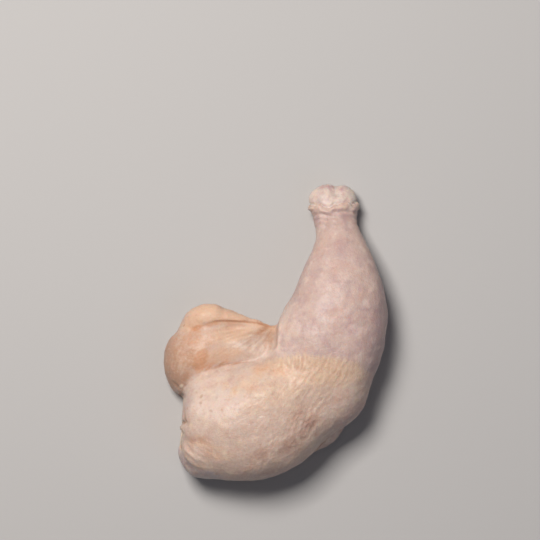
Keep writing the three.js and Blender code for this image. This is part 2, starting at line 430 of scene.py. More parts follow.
@dataclass
class LegForm:
    """The leg's main form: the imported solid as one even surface, finer on top where the detail is.

    Attributes:
        weld: How near two corners of the solid's triangles are when they are the same corner.
        cell: The width of a face, in millimetres.
        rounds: How often the steps of the surface are evened out.
        fine_rounds: How often they are evened out again once it is divided.
        share: How far a vertex moves to its neighbours each time.
        back: How much further it then moves back, so that the form doesn't shrink.
        grounded: The height, in cells, below which a vertex lies on the table.
        fine_slope: How far up a face looks at least to be divided.
    """

    weld: float = 0.001
    cell: float = 0.97
    rounds: int = 6
    fine_rounds: int = 4
    share: float = 0.5
    back: float = 1.04
    grounded: float = 0.2
    fine_slope: float = 0.46

    def build(self) -> Object:
        """Makes the surface.

        Returns:
            An object at the origin with a closed mesh.
        """
        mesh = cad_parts[NODE].data.copy()
        shell = bmesh.new()
        shell.from_mesh(mesh)
        bmesh.ops.remove_doubles(shell, verts=shell.verts, dist=self.weld * MM)
        shell.to_mesh(mesh)
        shell.free()
        mesh.materials.clear()
        leg = put_in_scene("raw_chicken_leg", mesh)
        even = leg.modifiers.new("even", "REMESH")
        even.mode = "VOXEL"
        even.voxel_size = self.cell * MM
        bake_modifiers(leg)
        self.even_out(leg.data, self.rounds)
        self.divide(leg.data)
        self.even_out(leg.data, self.fine_rounds)
        return leg

    def divide(self, mesh: Mesh) -> None:
        """Divides the faces that look up, so that fine relief can be shaped there.

        Args:
            mesh: The mesh.
        """
        shell = bmesh.new()
        shell.from_mesh(mesh)
        shell.normal_update()
        edges = {edge for face in shell.faces if face.normal.z > self.fine_slope for edge in face.edges}
        in_order = sorted(edges, key=lambda edge: edge.index)
        bmesh.ops.subdivide_edges(shell, edges=in_order, cuts=1, use_grid_fill=True)
        shell.to_mesh(mesh)
        shell.free()

    def even_out(self, mesh: Mesh, rounds: int) -> None:
        """Evens out the steps that the remesh leaves without shrinking the form. The base stays flat.

        Args:
            mesh: The mesh.
            rounds: How often.
        """
        places = vertices_of(mesh)
        count = len(places)
        pairs = np.zeros(len(mesh.edges) * 2, int)
        mesh.edges.foreach_get("vertices", pairs)
        first, second = pairs.reshape(-1, 2).T
        ends = np.concatenate([first, second])
        others = np.concatenate([second, first])
        neighbours = np.bincount(ends, minlength=count)
        grounded = places[:, 2] < self.grounded * self.cell
        for step in (self.share, -self.back * self.share) * rounds:
            sums = [np.bincount(ends, places[others, axis], count) for axis in range(3)]
            pull = np.column_stack(sums) / neighbours[:, None] - places
            pull[grounded, 2] = 0.0
            places += step * pull
        move_vertices(mesh, places)


@dataclass(frozen=True)
class Crease:
    """A line where the skin folds in, with the bulge of skin beside it.

    Attributes:
        route: Where it runs.
        width: How far from the line its walls reach.
        depth: How deep it is.
        strength: Its share of that depth at even steps along it.
        side: The side that bulges.
        lip: How high the bulge is.
        lip_width: How wide the bulge is.
        overlap: How far the bulge hangs over the line.
        darkening: How strongly the line is painted darker than the skin, as painted shade in the crease.
        pale_rim_and_light: How strongly the bulge is painted lighter than the skin, partly paler skin and
            partly painted light.
        heights: The heights above the table between which it lies.
    """

    route: Route
    width: float
    depth: float
    strength: tuple[float, ...] = (0.0, 1.0, 1.0, 0.0)
    side: Side = Side.LEFT
    lip: float = 0.0
    lip_width: float = 2.0
    overlap: float = 0.0
    darkening: float = 1.0
    pale_rim_and_light: float = 0.0
    heights: Point = (-10.0, 60.0)


# All places are seen from above, in millimetres along X and Y from the middle of the leg's box
CREASES: dict[str, Crease] = {
    "flap_groove": Crease(
        Route((
            (-50.5, -34.6), (-48, -29.4), (-45.2, -26.3), (-41.8, -23.7), (-38.4, -21.5), (-34.9, -19.4),
            (-31.5, -18.3), (-26.7, -17), (-21.5, -16.2), (-16.8, -15.1), (-10.8, -14.9),
        )),
        width=0.95, depth=0.38, strength=(1, 0.8, 0.5, 0.6, 0.8, 1, 1, 0.4), side=Side.RIGHT, lip=0.15,
        lip_width=3, overlap=0.3, darkening=0.75,
    ),
    "tail_notch": Crease(
        Route(((-52.5, -34.4), (-49, -33.6), (-46.6, -31.6))),
        width=1.5, depth=1.5, strength=(1, 1, 0.3), darkening=0.6,
    ),
    "roll_crease": Crease(
        Route((
            (-41, 1.8), (-38, 3.2), (-33, 5.3), (-28, 6), (-20.6, 5.8), (-14.7, 5.6), (-9.4, 5),
            (-4.5, 3.4), (-0.6, 3),
        )),
        width=0.75, depth=0.36, strength=(0.1, 0.3, 0.6, 0.9, 1, 0.8, 1, 0.7), lip=0.35, lip_width=1.6,
        overlap=0.2, darkening=1,
    ),
    "roll_kink": Crease(
        Route(((-26.4, 16.4), (-26.8, 12), (-25.6, 8.6))),
        width=2.6, depth=0.9, strength=(1, 1, 0), side=Side.RIGHT, lip=0.5, lip_width=3.2, darkening=0.12,
    ),
    "roll_dimple": Crease(
        Route(((-46.5, 4.4), (-43, 1.9), (-38.5, 1.2))),
        width=1.1, depth=0.4, strength=(0, 1, 0.4), darkening=0.25,
    ),
    "crotch": Crease(
        Route(((1.9, 8.5), (1, 4.4), (0.6, 0.8), (0.2, -3.4), (-0.5, -6.6), (-2.4, -8.6), (-4.4, -10))),
        width=1.5, depth=0.85, strength=(0.2, 0.8, 1, 1, 0.8, 0.4, 0), lip=0.55, lip_width=1.4, overlap=0.4,
        darkening=0.45, pale_rim_and_light=1,
    ),
    "web_fold": Crease(
        Route(((-2.4, 2.8), (-6.9, 0.7), (-12.1, -0.6), (-18.3, -1.9), (-24.5, -3))),
        width=1.3, depth=0.3, strength=(0.3, 1, 0.8, 0.5, 0.2, 0), darkening=0.75,
    ),
    "knee_lip": Crease(
        Route(((37.5, -47), (34.6, -48.9), (30.4, -51.6), (27.4, -54.4), (24, -57.6), (21.4, -60.4))),
        width=0.6, depth=0.6, strength=(0.1, 0.8, 1, 1, 1), side=Side.RIGHT, lip=0.7, lip_width=1.2,
        darkening=0.8, pale_rim_and_light=1, heights=(-10, 15),
    ),
    "fold_upper": Crease(
        Route(((-48.8, -51.6), (-47.6, -52.4), (-46, -54.7), (-43.4, -55.9), (-38.2, -56.2), (-33, -57))),
        width=1.1, depth=0.36, strength=(1, 0.7, 0.4, 0.16, 0, 0), lip=0.35, lip_width=2.4, darkening=0.3,
    ),
    "fold_middle": Crease(
        Route(((-46.6, -55.4), (-45.4, -57.6), (-44.2, -60), (-42, -62.6), (-39.6, -63.9), (-34, -64.6))),
        width=1.1, depth=0.5, strength=(0, 0.7, 1, 1, 0.4, 0), side=Side.RIGHT, lip=0.35, lip_width=2,
        darkening=0.35, pale_rim_and_light=0.15,
    ),
    "fold_lower": Crease(
        Route(((-49.4, -54), (-48.2, -59.4), (-45.4, -62.9), (-43.4, -64.7), (-40.4, -66.4), (-35, -68))),
        width=1.1, depth=0.55, strength=(0.6, 1, 1, 0.8, 0.4, 0), lip=0.35, lip_width=2, darkening=0.35,
        pale_rim_and_light=0.2,
    ),
    "layer_edge": Crease(
        Route((
            (-50.4, -56), (-49.4, -59.4), (-47.6, -63), (-44.7, -66.4), (-40.4, -69.9), (-35.2, -70.7),
            (-28.7, -72.5),
        )),
        width=0.9, depth=0.6, strength=(1, 1, 0.9, 0.6, 0.4, 0.2, 0), lip=0.4, lip_width=1.6, overlap=0.3,
        darkening=0.3, pale_rim_and_light=0.3,
    ),
    "rim_notch": Crease(
        Route(((-51.4, -47), (-48.6, -46.6), (-46.2, -46))),
        width=1, depth=2.2, strength=(1, 1, 0.6), darkening=1, heights=(22, 60),
    ),
    "rim_lump": Crease(
        Route(((-52, -48.8), (-49, -48.8), (-46, -49.4))),
        width=1.6, depth=-0.9, strength=(1, 1, 0), darkening=0, heights=(21, 60),
    ),
    "rim_shadow": Crease(
        Route(((-46.9, -38.6), (-46.7, -42.2), (-46.3, -45.6))),
        width=0.7, depth=0.8, strength=(0.2, 0.8, 1), darkening=0.8,
    ),
    "rim_slit": Crease(
        Route(((-51.4, -51.6), (-48.4, -51.6), (-46.6, -52.6))),
        width=1.1, depth=1.5, strength=(1, 0.8, 0.1), darkening=0.8, heights=(22, 60),
    ),
    "flap_pleat": Crease(
        Route(((-54, -25), (-51.4, -27.6), (-49.2, -29.6))),
        width=0.8, depth=0.7, strength=(0, 1, 0.8), lip=0.3, darkening=0.5,
    ),
}


@dataclass
class LooseSkin:
    """The folds of the loose skin: round the flap, in the bend, at the knee and at the cut end.

    Attributes:
        facing: The Z of the normals where the creases begin and where they are full.
        fade: How softly a crease ends at its lowest and highest place.
        layer_blend: How softly the under layer begins at the edge of the skin over it.
        corner_x: How far towards -X the corner with the under layer begins, and where it is full.
        corner_y: The same towards -Y.
        creases: The creases by name.
    """

    facing: Point = (-0.35, 0.15)
    fade: float = 2.5
    layer_blend: Point = (-0.6, 1.0)
    corner_x: Point = (20.0, 34.0)
    corner_y: Point = (46.0, 54.0)
    creases: dict[str, Crease] = field(default_factory=CREASES.copy)

    def shape(self, surface: Surface) -> None:
        """Presses the creases in, raises the skin beside them, paints shade into the creases and paints the
        bulges lighter.

        Args:
            surface: The skin.
        """
        plan = surface.plan
        facing = smooth_step(surface.normals[:, 2], *self.facing)
        height = surface.places[:, 2]
        for crease in self.creases.values():
            distance, signed, nearest = crease.route.measure(plan)
            heading = crease.route.headings()
            steps = np.linspace(0.0, 1.0, len(crease.strength))
            strength = np.interp(nearest / (len(heading) - 1), steps, crease.strength) * facing
            low, high = crease.heights
            strength *= smooth_step(height, low - self.fade, low + self.fade)
            strength *= smooth_step(-height, -high - self.fade, -high + self.fade)
            groove = strength * hump(distance, crease.width)
            away = signed * crease.side.value - crease.width
            past = np.sqrt(np.maximum(distance**2 - signed**2, 0.0))
            beside = strength * hump(past, crease.lip_width)
            bulge = beside * hump(away, crease.lip_width)
            surface.lift += crease.lip * bulge - crease.depth * groove
            outward = heading[nearest] * crease.side.value
            over = crease.overlap * beside * hump(away, crease.width)
            surface.slide += np.column_stack([outward[:, 1], -outward[:, 0]]) * over[:, None]
            # Painted shade darkens each crease; its bulge is painted lighter, partly paler skin and partly
            # painted light
            surface.mark(Zone.CREASE, crease.darkening * groove)
            surface.mark(Zone.RIM_AND_PAINTED_LIGHT, crease.pale_rim_and_light * bulge)
        _, inward, _ = self.creases["layer_edge"].route.measure(plan)
        corner = smooth_step(-plan[:, 0], *self.corner_x) * smooth_step(-plan[:, 1], *self.corner_y)
        surface.mark(Zone.LAYER, smooth_step(-inward, *self.layer_blend) * corner)


@dataclass(frozen=True)
class Grain:
    """Skin whose small ridges run one way, such as the feather rows or the wrinkles of the flap.

    Attributes:
        heading: The direction of the ridges in degrees from +X, or the point from which they fan out.
        pitch: The distance from ridge to ridge.
        length: How long a ridge is.
        height: How high it stands.
        tint: How much darker the skin is between the ridges.
        ground: The stretch of skin that they are on.
        patches: Where they are there.
        darkening: How strongly the valleys look bruised.
        clump: By how much the ridges fade between the clumps in which they stand.
        nearest: How near to the point from which they fan out a ridge can begin.
    """

    heading: float | Point
    pitch: float
    length: float
    height: float
    tint: float
    ground: Ground
    patches: tuple[Patch, ...]
    darkening: float = 0.0
    clump: float = 0.7
    nearest: float = 0.1

    def directions(self, plan: Array) -> Array:
        """Gives the direction of the ridges at each point.

        Args:
            plan: The points, seen from above.

        Returns:
            One row of length 1 for each point.
        """
        if isinstance(self.heading, tuple):
            rays = plan - np.array(self.heading)
            return rays / np.maximum(np.linalg.norm(rays, axis=1, keepdims=True), self.nearest)
        turn = math.radians(self.heading)
        return np.tile([math.cos(turn), math.sin(turn)], (len(plan), 1))


# The line across the leg where the thigh's fatty feather skin ends
SKIN_EDGE = Route((
    (-60, -36.5), (-50.5, -34.8), (-48, -29.4), (-45.2, -26.3), (-34.9, -19.4), (-26.7, -17),
    (-16.8, -15.1), (-8, -14), (0, -12.6), (6, -11.9), (13.6, -10.4), (21, -11.3), (29, -11.6),
    (37.8, -13.7), (42.5, -14.8), (46.6, -19.2), (52, -25), (58, -29),
))

GRAINS: dict[str, Grain] = {
    "comb": Grain(
        heading=-93, pitch=2.1, length=4.4, height=0.11, tint=0.32, ground=Ground.THIGH, clump=0.4,
        patches=(Patch(21, -15.8, 27, 5.2, -4, soft=0.45),),
    ),
    "tract": Grain(
        heading=-136, pitch=2.1, length=3, height=0.15, tint=0.34, ground=Ground.THIGH,
        patches=(
            Patch(19, -29, 25, 11, 38, soft=0.5),
            Patch(-6, -40, 22, 13, 34, 0.42, soft=0.7),
        ),
    ),
    "underthigh": Grain(
        heading=-132, pitch=2.6, length=2.6, height=0.18, tint=0.22, ground=Ground.THIGH,
        patches=(Patch(6, -54, 22, 9, 38, soft=0.7),),
    ),
    "flap": Grain(
        heading=(1, 4.4), pitch=1.5, length=10, height=0.1, tint=0.28, ground=Ground.FLAP,
        patches=(Patch(-28, -7, 19, 9, 22, soft=0.6),),
    ),
    "lobe": Grain(
        heading=-100, pitch=1.6, length=7, height=0.09, tint=0.16, ground=Ground.FLAP,
        patches=(Patch(-49, -12, 12, 5, 80, soft=0.6),),
    ),
    "web": Grain(
        heading=(0.6, 4.6), pitch=1.9, length=11, height=0.2, tint=0.34, ground=Ground.FLAP, darkening=0.55,
        patches=(Patch(-10, -4.6, 11, 6.5, 40, soft=0.7),),
    ),
    "pucker": Grain(
        heading=-26, pitch=3.4, length=7, height=0.2, tint=0.12, ground=Ground.THIGH,
        patches=(Patch(-38, -62, 11, 6, -38, soft=0.6),),
    ),
}


@dataclass
class FeatherRows:
    """The small ridges in the skin, where the feathers grew and where it is drawn together.

    A seeded noise is smeared along the headings on a level grid, so that the ridges bend with them.

    Attributes:
        edge: The line between the thigh's skin and that of the drumstick and the flap.
        fringe: How far the ridges reach over that line.
        soften: How gently the two meet, below and above the line.
        bend: The line between the flap and the drumstick, as its x at y 0 and its slope.
        bend_blend: How gently the flap and the drumstick meet on each side of that line.
        drift: How far the first line wanders down the flanks.
        drift_pitch: How far down a flank one such wander reaches.
        flank_slope: The Z of the normals where the flanks are full and where they end.
        flank_softness: How much more gently the stretches meet on the flanks than on top.
        cell: The width of a cell of the grid.
        half: Half the grid's sizes along X and Y.
        steps: The number of steps of the smear each way.
        floor: The least cover that a grain's heading has anywhere, so that each place has a heading.
        band: The ridges' pitch over the widths of the fine and the coarse blur that bound the noise.
        even_width: The width over which the ridges are brought to the same strength.
        clump_width: The size of the clumps in which the ridges are stronger and weaker.
        clump_edge: The level of the clumps' noise, each way, at which they are weakest and strongest.
        crest: The levels of the smeared noise at a valley's bottom and at a ridge's top.
        seed: The seed of the noise.
        grains: The stretches of ridges.
    """

    edge: Route = SKIN_EDGE
    fringe: float = 1.4
    soften: Point = (-2.8, 3.0)
    bend: Point = (0.2, 0.1)
    bend_blend: float = 0.6
    drift: float = 2.6
    drift_pitch: float = 17.0
    flank_slope: Point = (0.1, 0.6)
    flank_softness: float = 4.0
    cell: float = 0.3
    half: Point = (62.0, 80.0)
    steps: int = 12
    floor: float = 0.02
    band: Point = (5.0, 2.2)
    even_width: float = 9.0
    clump_width: float = 2.2
    clump_edge: float = 0.9
    crest: Point = (-1.6, 1.6)
    seed: int = 11
    grains: dict[str, Grain] = field(default_factory=GRAINS.copy)

    def blurred(self, values: Array, width: float) -> Array:
        """Blurs a grid of numbers.

        Args:
            values: The grid.
            width: The blur's standard deviation, in millimetres.

        Returns:
            The blurred grid.
        """
        rows = np.fft.fftfreq(values.shape[0], self.cell)[:, None]
        columns = np.fft.rfftfreq(values.shape[1], self.cell)[None, :]
        keep = np.exp(-2.0 * (math.pi * width) ** 2 * (rows**2 + columns**2))
        return np.fft.irfft2(np.fft.rfft2(values) * keep, values.shape)

    def cells(self, plan: Array) -> Array:
        """Turns points into places on the grid.

        Args:
            plan: The points, seen from above.

        Returns:
            The row and the column of each point, with fractions.
        """
        return (plan.T + np.array(self.half)[:, None]) / self.cell

    def nearest(self, plan: Array, shape: tuple[int, int]) -> tuple[Array, Array]:
        """Finds the grid cells that points lie in.

        Args:
            plan: The points, seen from above.
            shape: The grid's number of rows and columns.

        Returns:
            The row and the column of each point.
        """
        row, column = np.rint(self.cells(plan)).astype(int)
        return np.clip(row, 0, shape[0] - 1), np.clip(column, 0, shape[1] - 1)

    def ridges(self) -> Array:
        """Works out the ridges on the grid.

        Returns:
            A grid with 0 at the bottom of the valleys and 1 on the ridges.
        """
        random = np.random.default_rng(self.seed)
        along_x, along_y = (np.arange(-half, half, self.cell) for half in self.half)
        grid_x, grid_y = np.meshgrid(along_x, along_y, indexing="ij")
        shape = grid_x.shape
        plan = np.column_stack([grid_x.ravel(), grid_y.ravel()])
        noise = random.standard_normal(shape)
        total, length, source, fade = np.zeros((4, *shape))
        heading = np.zeros((*shape, 2))
        for grain in self.grains.values():
            cover = covered(grain.patches, plan).reshape(shape) + self.floor
            fine, coarse = (self.blurred(noise, grain.pitch / share) for share in self.band)
            band = fine - coarse
            total += cover
            length += cover * grain.length
            source += cover * band / band.std()
            fade += cover * grain.clump
            heading += cover[..., None] * grain.directions(plan).reshape(*shape, 2)
        length /= total
        source /= total
        heading /= np.linalg.norm(heading, axis=2, keepdims=True)
        smeared = source.copy()
        for way in (1, -1):
            spot = plan.copy()
            for step in range(self.steps):
                row, column = self.nearest(spot, shape)
                stride = length[row, column] / (2 * self.steps)
                spot += way * stride[:, None] * heading[row, column]
                row, column = self.nearest(spot, shape)
                share = math.cos(0.5 * math.pi * (step + 1) / (self.steps + 1))
                smeared += share * source[row, column].reshape(shape)
        smeared /= np.sqrt(self.blurred(smeared**2, self.even_width))
        clumps = self.blurred(random.standard_normal(shape), self.clump_width)
        gaps = 1.0 - smooth_step(clumps / clumps.std(), -self.clump_edge, self.clump_edge)
        return 0.5 + (smooth_step(smeared, *self.crest) - 0.5) * (1.0 - fade / total * gaps)

    def sampled(self, grid: Array, plan: Array) -> Array:
        """Reads a grid between its cells.

        Args:
            grid: The grid.
            plan: Where to read it.

        Returns:
            One number for each point.
        """
        places = [np.clip(place, 0, size - 2) for place, size in zip(self.cells(plan), grid.shape)]
        row, column = (place.astype(int) for place in places)
        down, across = (place - np.floor(place) for place in places)
        near = grid[row, column] * (1 - across) + grid[row, column + 1] * across
        far = grid[row + 1, column] * (1 - across) + grid[row + 1, column + 1] * across
        return near * (1 - down) + far * down

    def shape(self, surface: Surface) -> dict[Ground, Array]:
        """Raises the ridges and marks the valleys between them.

        Args:
            surface: The skin.

        Returns:
            For each stretch of skin, how far each vertex belongs to it.
        """
        plan = surface.plan
        ridge = self.sampled(self.ridges(), plan)
        _, above, _ = self.edge.measure(plan)
        flank = 1.0 - smooth_step(surface.normals[:, 2], *self.flank_slope)
        above += self.drift * flank * np.sin(2 * math.pi * surface.places[:, 2] / self.drift_pitch)
        above /= 1.0 + self.flank_softness * flank
        thigh = smooth_step(self.fringe * (2.0 * ridge - 1.0) - above, *self.soften)
        start, slope = self.bend
        beyond = plan[:, 0] - start - slope * plan[:, 1]
        shin = smooth_step(beyond, -self.bend_blend, self.bend_blend)
        grounds = {
            Ground.THIGH: thigh,
            Ground.DRUMSTICK: (1.0 - thigh) * shin,
            Ground.FLAP: (1.0 - thigh) * (1.0 - shin),
        }
        valley, crest = np.zeros((2, len(plan)))
        for grain in self.grains.values():
            cover = covered(grain.patches, plan) * grounds[grain.ground] * surface.upper
            surface.lift += cover * grain.height * (ridge - 0.5)
            valley = np.maximum(valley, cover * grain.tint * (1.0 - ridge))
            crest = np.maximum(crest, cover * grain.tint * ridge**2)
            surface.mark(Zone.BRUISE, grain.darkening * cover * (1.0 - ridge))
        surface.marks.update(valley=valley, crest=crest)
        return grounds


@dataclass(frozen=True)
class Blotch:
    """A soft ball in which the skin has another colour, for the sides that can't be seen from above.

    Attributes:
        place: Its middle.
        reach: Its size along X, Y and Z.
        weight: How strong it is.
        fade: The shares of its size between which it fades.
    """

    place: Place
    reach: Place
    weight: float = 1.0
    fade: Point = (0.4, 1.3)

    def cover(self, places: Array) -> Array:
        """Gives how strongly the ball covers each point, from 0 to its weight."""
        away = np.linalg.norm((places - np.array(self.place)) / np.array(self.reach), axis=1)
        return self.weight * (1.0 - smooth_step(away, *self.fade))


# For each zone, the stretch of skin that it is on, or None for all of it, and its ovals there
PATCHES: dict[Zone, tuple[Ground | None, tuple[Patch, ...]]] = {
    Zone.FAT: (Ground.THIGH, (
        Patch(18, -18, 27, 9, -4, 0.95),
        Patch(4, -27, 26, 9, 30, 0.6),
        Patch(-9, -21, 8, 4, 60, 0.7),
        Patch(-20, -29, 3.4, 2.2, 20, 0.7),
        Patch(-26, -27.4, 2.6, 1.8, 60, 0.6),
        Patch(-27, -48, 8, 3, 82, 0.35),
        Patch(-14, -36.8, 4.4, 2.6, -30, 0.6, soft=0.9),
        Patch(-14.6, -27, 6, 3.6, 20, 0.7, soft=0.9),
        Patch(-28, -61, 12, 4, -24, 0.45),
    )),
    # Paler skin, partly painted light: lighter on the drumstick's left edge and the thigh's slope below the
    # groove, where light falls
    Zone.PALE_AND_PAINTED_LIGHT: (None, (
        Patch(-33, -34, 17, 13, 10, 0.9),
        Patch(-12, -22, 16, 7, 12, 0.6),
        Patch(-31, -24.4, 9, 3.4, 30, 0.9),
        Patch(6.4, 0, 6, 15, -8, 0.9),
        Patch(3.2, -3.5, 3.2, 8, -6, 1),
        Patch(-31, 0.6, 7, 3.5, 10, 0.5),
        Patch(13, 12, 8, 8, 40, 0.45),
        Patch(-16.2, -8.2, 3, 1.8, 20, 0.8),
        Patch(-11, -9.6, 3.2, 1.8, -20, 0.75),
        Patch(-7.2, -8, 2.8, 1.6, 50, 0.7),
        Patch(-3.6, -10.6, 4, 1.8, 30, 0.8),
    )),
    Zone.PEACH: (Ground.FLAP, (
        Patch(-30, 10, 20, 6, -10, 1),
        Patch(-8, 5, 14, 4, -16, 0.8),
        Patch(-24, -1, 16, 5.5, 12, 0.7),
        Patch(-42, 6, 9, 5, 50, 0.9),
        Patch(-44, -8, 15, 9, 70, 0.6),
        Patch(-28, -11.5, 13, 5, 14, 0.7),
    )),
    Zone.GLOW: (Ground.THIGH, (
        Patch(-7, -17.8, 6, 3, 10, 0.7, soft=0.9),
        Patch(3, -19.5, 6, 3, -5, 0.65, soft=0.9),
        Patch(-17, -23, 5, 2.5, 30, 0.5, soft=0.9),
        Patch(-21, -30, 4, 1.8, 60, 0.5, soft=0.9),
        Patch(-12, -28.6, 5, 2.4, 40, 0.55, soft=0.9),
        Patch(-27, -26, 3.4, 1.8, 10, 0.5, soft=0.9),
        Patch(-38, -55.8, 7, 3.4, -14, 0.6, soft=0.9),
        Patch(-32, -62.4, 8, 2.6, -25, 0.5, soft=0.9),
        Patch(-25, -51, 4, 2.4, 80, 0.35, soft=0.9),
    )),
    # Mauve of thin skin over the meat, darkened as painted shade on the right flanks, the bottom edge and the
    # thigh's left edge
    Zone.MAUVE_AND_PAINTED_SHADE: (None, (
        Patch(55, -4, 36, 8, 84, 0.9, soft=0.8),
        Patch(42, -45, 22, 8, 48, 0.9, soft=0.8),
        Patch(0, -74, 40, 6, 12, 0.6, soft=0.8),
        Patch(-45, -37, 7, 2.6, 78, 0.55, soft=0.8),
    )),
    # Pink-brown flushes in the skin, deepened as painted shade on the thigh's lower right and the flap's left
    Zone.FLUSH: (None, (
        Patch(17.6, -46, 4.6, 3.2, 40, 0.95, soft=0.9),
        Patch(13.4, -51.8, 4, 3, 60, 0.8, soft=0.9),
        Patch(11, -42, 7, 3.8, 45, 0.6, soft=0.9),
        Patch(7.2, -56.8, 6.4, 4, 35, 0.85, soft=0.9),
        Patch(2, -61, 1.8, 1.2, 70, 0.8, soft=0.9),
        Patch(33.1, -33.1, 5.6, 3, 40, 0.5, soft=0.9),
        Patch(-3, -59.1, 6, 2.6, 20, 0.5, soft=0.9),
        Patch(-8, -61.6, 7, 3, 22, 0.7, soft=0.9),
        Patch(-38.6, -55.6, 5.6, 1.3, -8, 0.35),
        Patch(-34, -64, 6, 1.6, -20, 0.3),
        Patch(-45, -6, 9, 6, 60, 0.5),
    )),
    Zone.BRUISE: (Ground.FLAP, (
        Patch(-10.4, -4, 9, 4, 24, 0.5, soft=0.9),
        Patch(-46, -27, 5, 2.6, 30, 0.4, soft=0.9),
    )),
    # Brownish skin, darkened as painted shade: the flap's left flank, beside the crotch and along the groove
    # to the thigh
    Zone.TAN: (Ground.FLAP, (
        Patch(-56, -12, 17, 7.5, 88, 0.9, soft=0.9),
        Patch(-53, -24, 9, 6, 110, 0.9, soft=0.9),
        Patch(-46, -15.5, 10, 6.5, 80, 0.6, soft=0.9),
        Patch(-47, -24, 5, 3.4, 60, 0.9, soft=0.9),
        Patch(-6.5, 1.4, 4.5, 2.2, 40, 0.8, soft=0.9),
        Patch(-3, -2.4, 7, 2.4, 78, 0.8, soft=0.9),
        Patch(-8, 4.6, 9, 1.8, -14, 0.5, soft=0.9),
        Patch(-30, -16.6, 14, 1.8, 14, 0.25, soft=0.9),
    )),
    Zone.AMBER: (Ground.FLAP, (
        Patch(-38.8, -14.2, 6.4, 3.8, 70, 1, soft=0.6),
        Patch(-42.4, -14.5, 9, 4, 75, 0.5, soft=0.9),
        Patch(-41, -7, 13, 9, 60, 0.5, soft=0.9),
        Patch(-36.5, -18.6, 6, 1.8, 30, 0.85),
        Patch(-41.6, -4.6, 4.6, 1.2, 22, 0.8, soft=0.9),
        Patch(-36, -6, 3.6, 1, 4, 0.6, soft=0.9),
        Patch(-32.6, -5.8, 3, 0.9, 4, 0.45, soft=0.9),
        Patch(-44, -1.5, 4, 2, 60, 0.5, soft=0.9),
        Patch(-27, -16.4, 6, 1.2, 12, 0.6),
        Patch(-40.6, 2.4, 3.4, 1.5, 20, 0.95, soft=0.8),
        Patch(-34, 4, 6, 1.6, 20, 0.65, soft=0.9),
        Patch(-47, -2.5, 2.6, 1, 80, 0.5),
    )),
}

BLOTCHES: dict[Zone, tuple[Blotch, ...]] = {
    # Flushes on the flanks, partly painted shade
    Zone.FLUSH: (
        Blotch((44, -42, 12), (14, 14, 10), 0.5),
        Blotch((12, 16, 8), (6, 18, 8), 0.45),
        Blotch((-10, -76, 10), (16, 8, 8), 0.4),
        Blotch((30, 55, 16), (10, 8, 8), 0.5),
        Blotch((40, 50, 6), (8, 12, 6), 0.4),
    ),
    # Mauve skin, partly painted shade, on a flank of the drumstick
    Zone.MAUVE_AND_PAINTED_SHADE: (Blotch((14, 30, 14), (8, 20, 12), 0.5),),
    Zone.PEACH: (
        Blotch((-28, 12, 10), (26, 8, 11), 0.9),
        Blotch((-6, 8, 8), (12, 7, 8), 0.6),
    ),
    # Painted shade on the flap's left flank, over brownish skin
    Zone.TAN: (Blotch((-57, -12, 12), (6, 20, 12), 0.55),),
    # Paler skin of the knee's ledge, painted lighter as painted light where the thigh shades it
    Zone.RIM_AND_PAINTED_LIGHT: (
        Blotch((35.8, -50.3, 9), (4, 4, 3.6), 0.45),
        Blotch((32, -53.5, 9), (4.4, 4.4, 3.8), 0.6),
        Blotch((28.6, -56.6, 9), (4.4, 4.4, 3.8), 0.6),
        Blotch((24.8, -59.4, 9), (4, 4, 3.6), 0.5),
    ),
    Zone.FAT: (
        Blotch((-50, -60, 12), (8, 12, 12), 0.5),
        Blotch((24, 46, 22), (8, 8, 6), 0.35),
    ),
}

PORES: tuple[Patch, ...] = (
    Patch(-37.9, -32.8, 1.3, 0.7, 50, 0.9),
    Patch(-38.2, -36.2, 0.9, 0.8, 0, 0.7),
    Patch(-32.8, -39.9, 1.1, 0.8, -20, 0.7),
    Patch(-27.2, -39.7, 1.2, 0.9, 70, 0.6),
    Patch(-44.8, -39, 0.8, 0.5, 80, 0.7),
    Patch(-40.5, -41.4, 0.7, 0.4, 30, 0.5),
    Patch(-43.2, -34.6, 0.6, 0.4, 0, 0.5),
    Patch(-35.4, -44.6, 0.6, 0.4, 60, 0.4),
    Patch(-30.4, -34.6, 0.6, 0.4, 0, 0.4),
    Patch(-38.2, -56.2, 0.8, 0.6, 0, 0.6),
    Patch(-24, -61.6, 0.8, 0.6, 20, 0.6),
    Patch(-30.5, -73, 0.9, 0.6, 0, 0.6),
    Patch(-41, 9, 0.6, 0.4, 40, 0.6),
    Patch(-47.4, 3.6, 0.9, 0.4, 60, 0.8),
    Patch(-33.4, 8.6, 0.6, 0.4, 0, 0.5),
)


@dataclass
class SkinTones:
    """Where the skin has which colour: fat, thin skin over meat, flushes, bruises, pores, painted shade and
    light.

    Attributes:
        patches: For each zone, the stretch of skin that it is on, or None for all, and its ovals there.
        blotches: For each zone, its balls.
        pores: The dark pores and specks.
        lump: The lump of fat that sticks out beside the flap.
    """

    patches: dict[Zone, tuple[Ground | None, tuple[Patch, ...]]] = field(default_factory=PATCHES.copy)
    blotches: dict[Zone, tuple[Blotch, ...]] = field(default_factory=BLOTCHES.copy)
    pores: tuple[Patch, ...] = PORES
    lump: Patch = Patch(-48.9, -27.9, 1.6, 0.9, 40.0, 0.9)

    def paint(self, surface: Surface, grounds: Mapping[Ground, Array]) -> None:
        """Marks the zones on the skin.

        Args:
            surface: The skin.
            grounds: For each stretch of skin, how far each vertex belongs to it.
        """
        plan = surface.plan
        for zone, (ground, patches) in self.patches.items():
            within = 1.0 if ground is None else grounds[ground]
            surface.mark(zone, covered(patches, plan) * surface.outer * within)
        for zone, blotches in self.blotches.items():
            for blotch in blotches:
                surface.mark(zone, blotch.cover(surface.places))
        surface.mark(Zone.SHIN, grounds[Ground.DRUMSTICK])
        surface.mark(Zone.THIGH, grounds[Ground.THIGH])
        surface.mark(Zone.PORE, covered(self.pores, plan) * surface.upper)
        surface.mark(Zone.LARD, self.lump.cover(plan) * surface.upper)


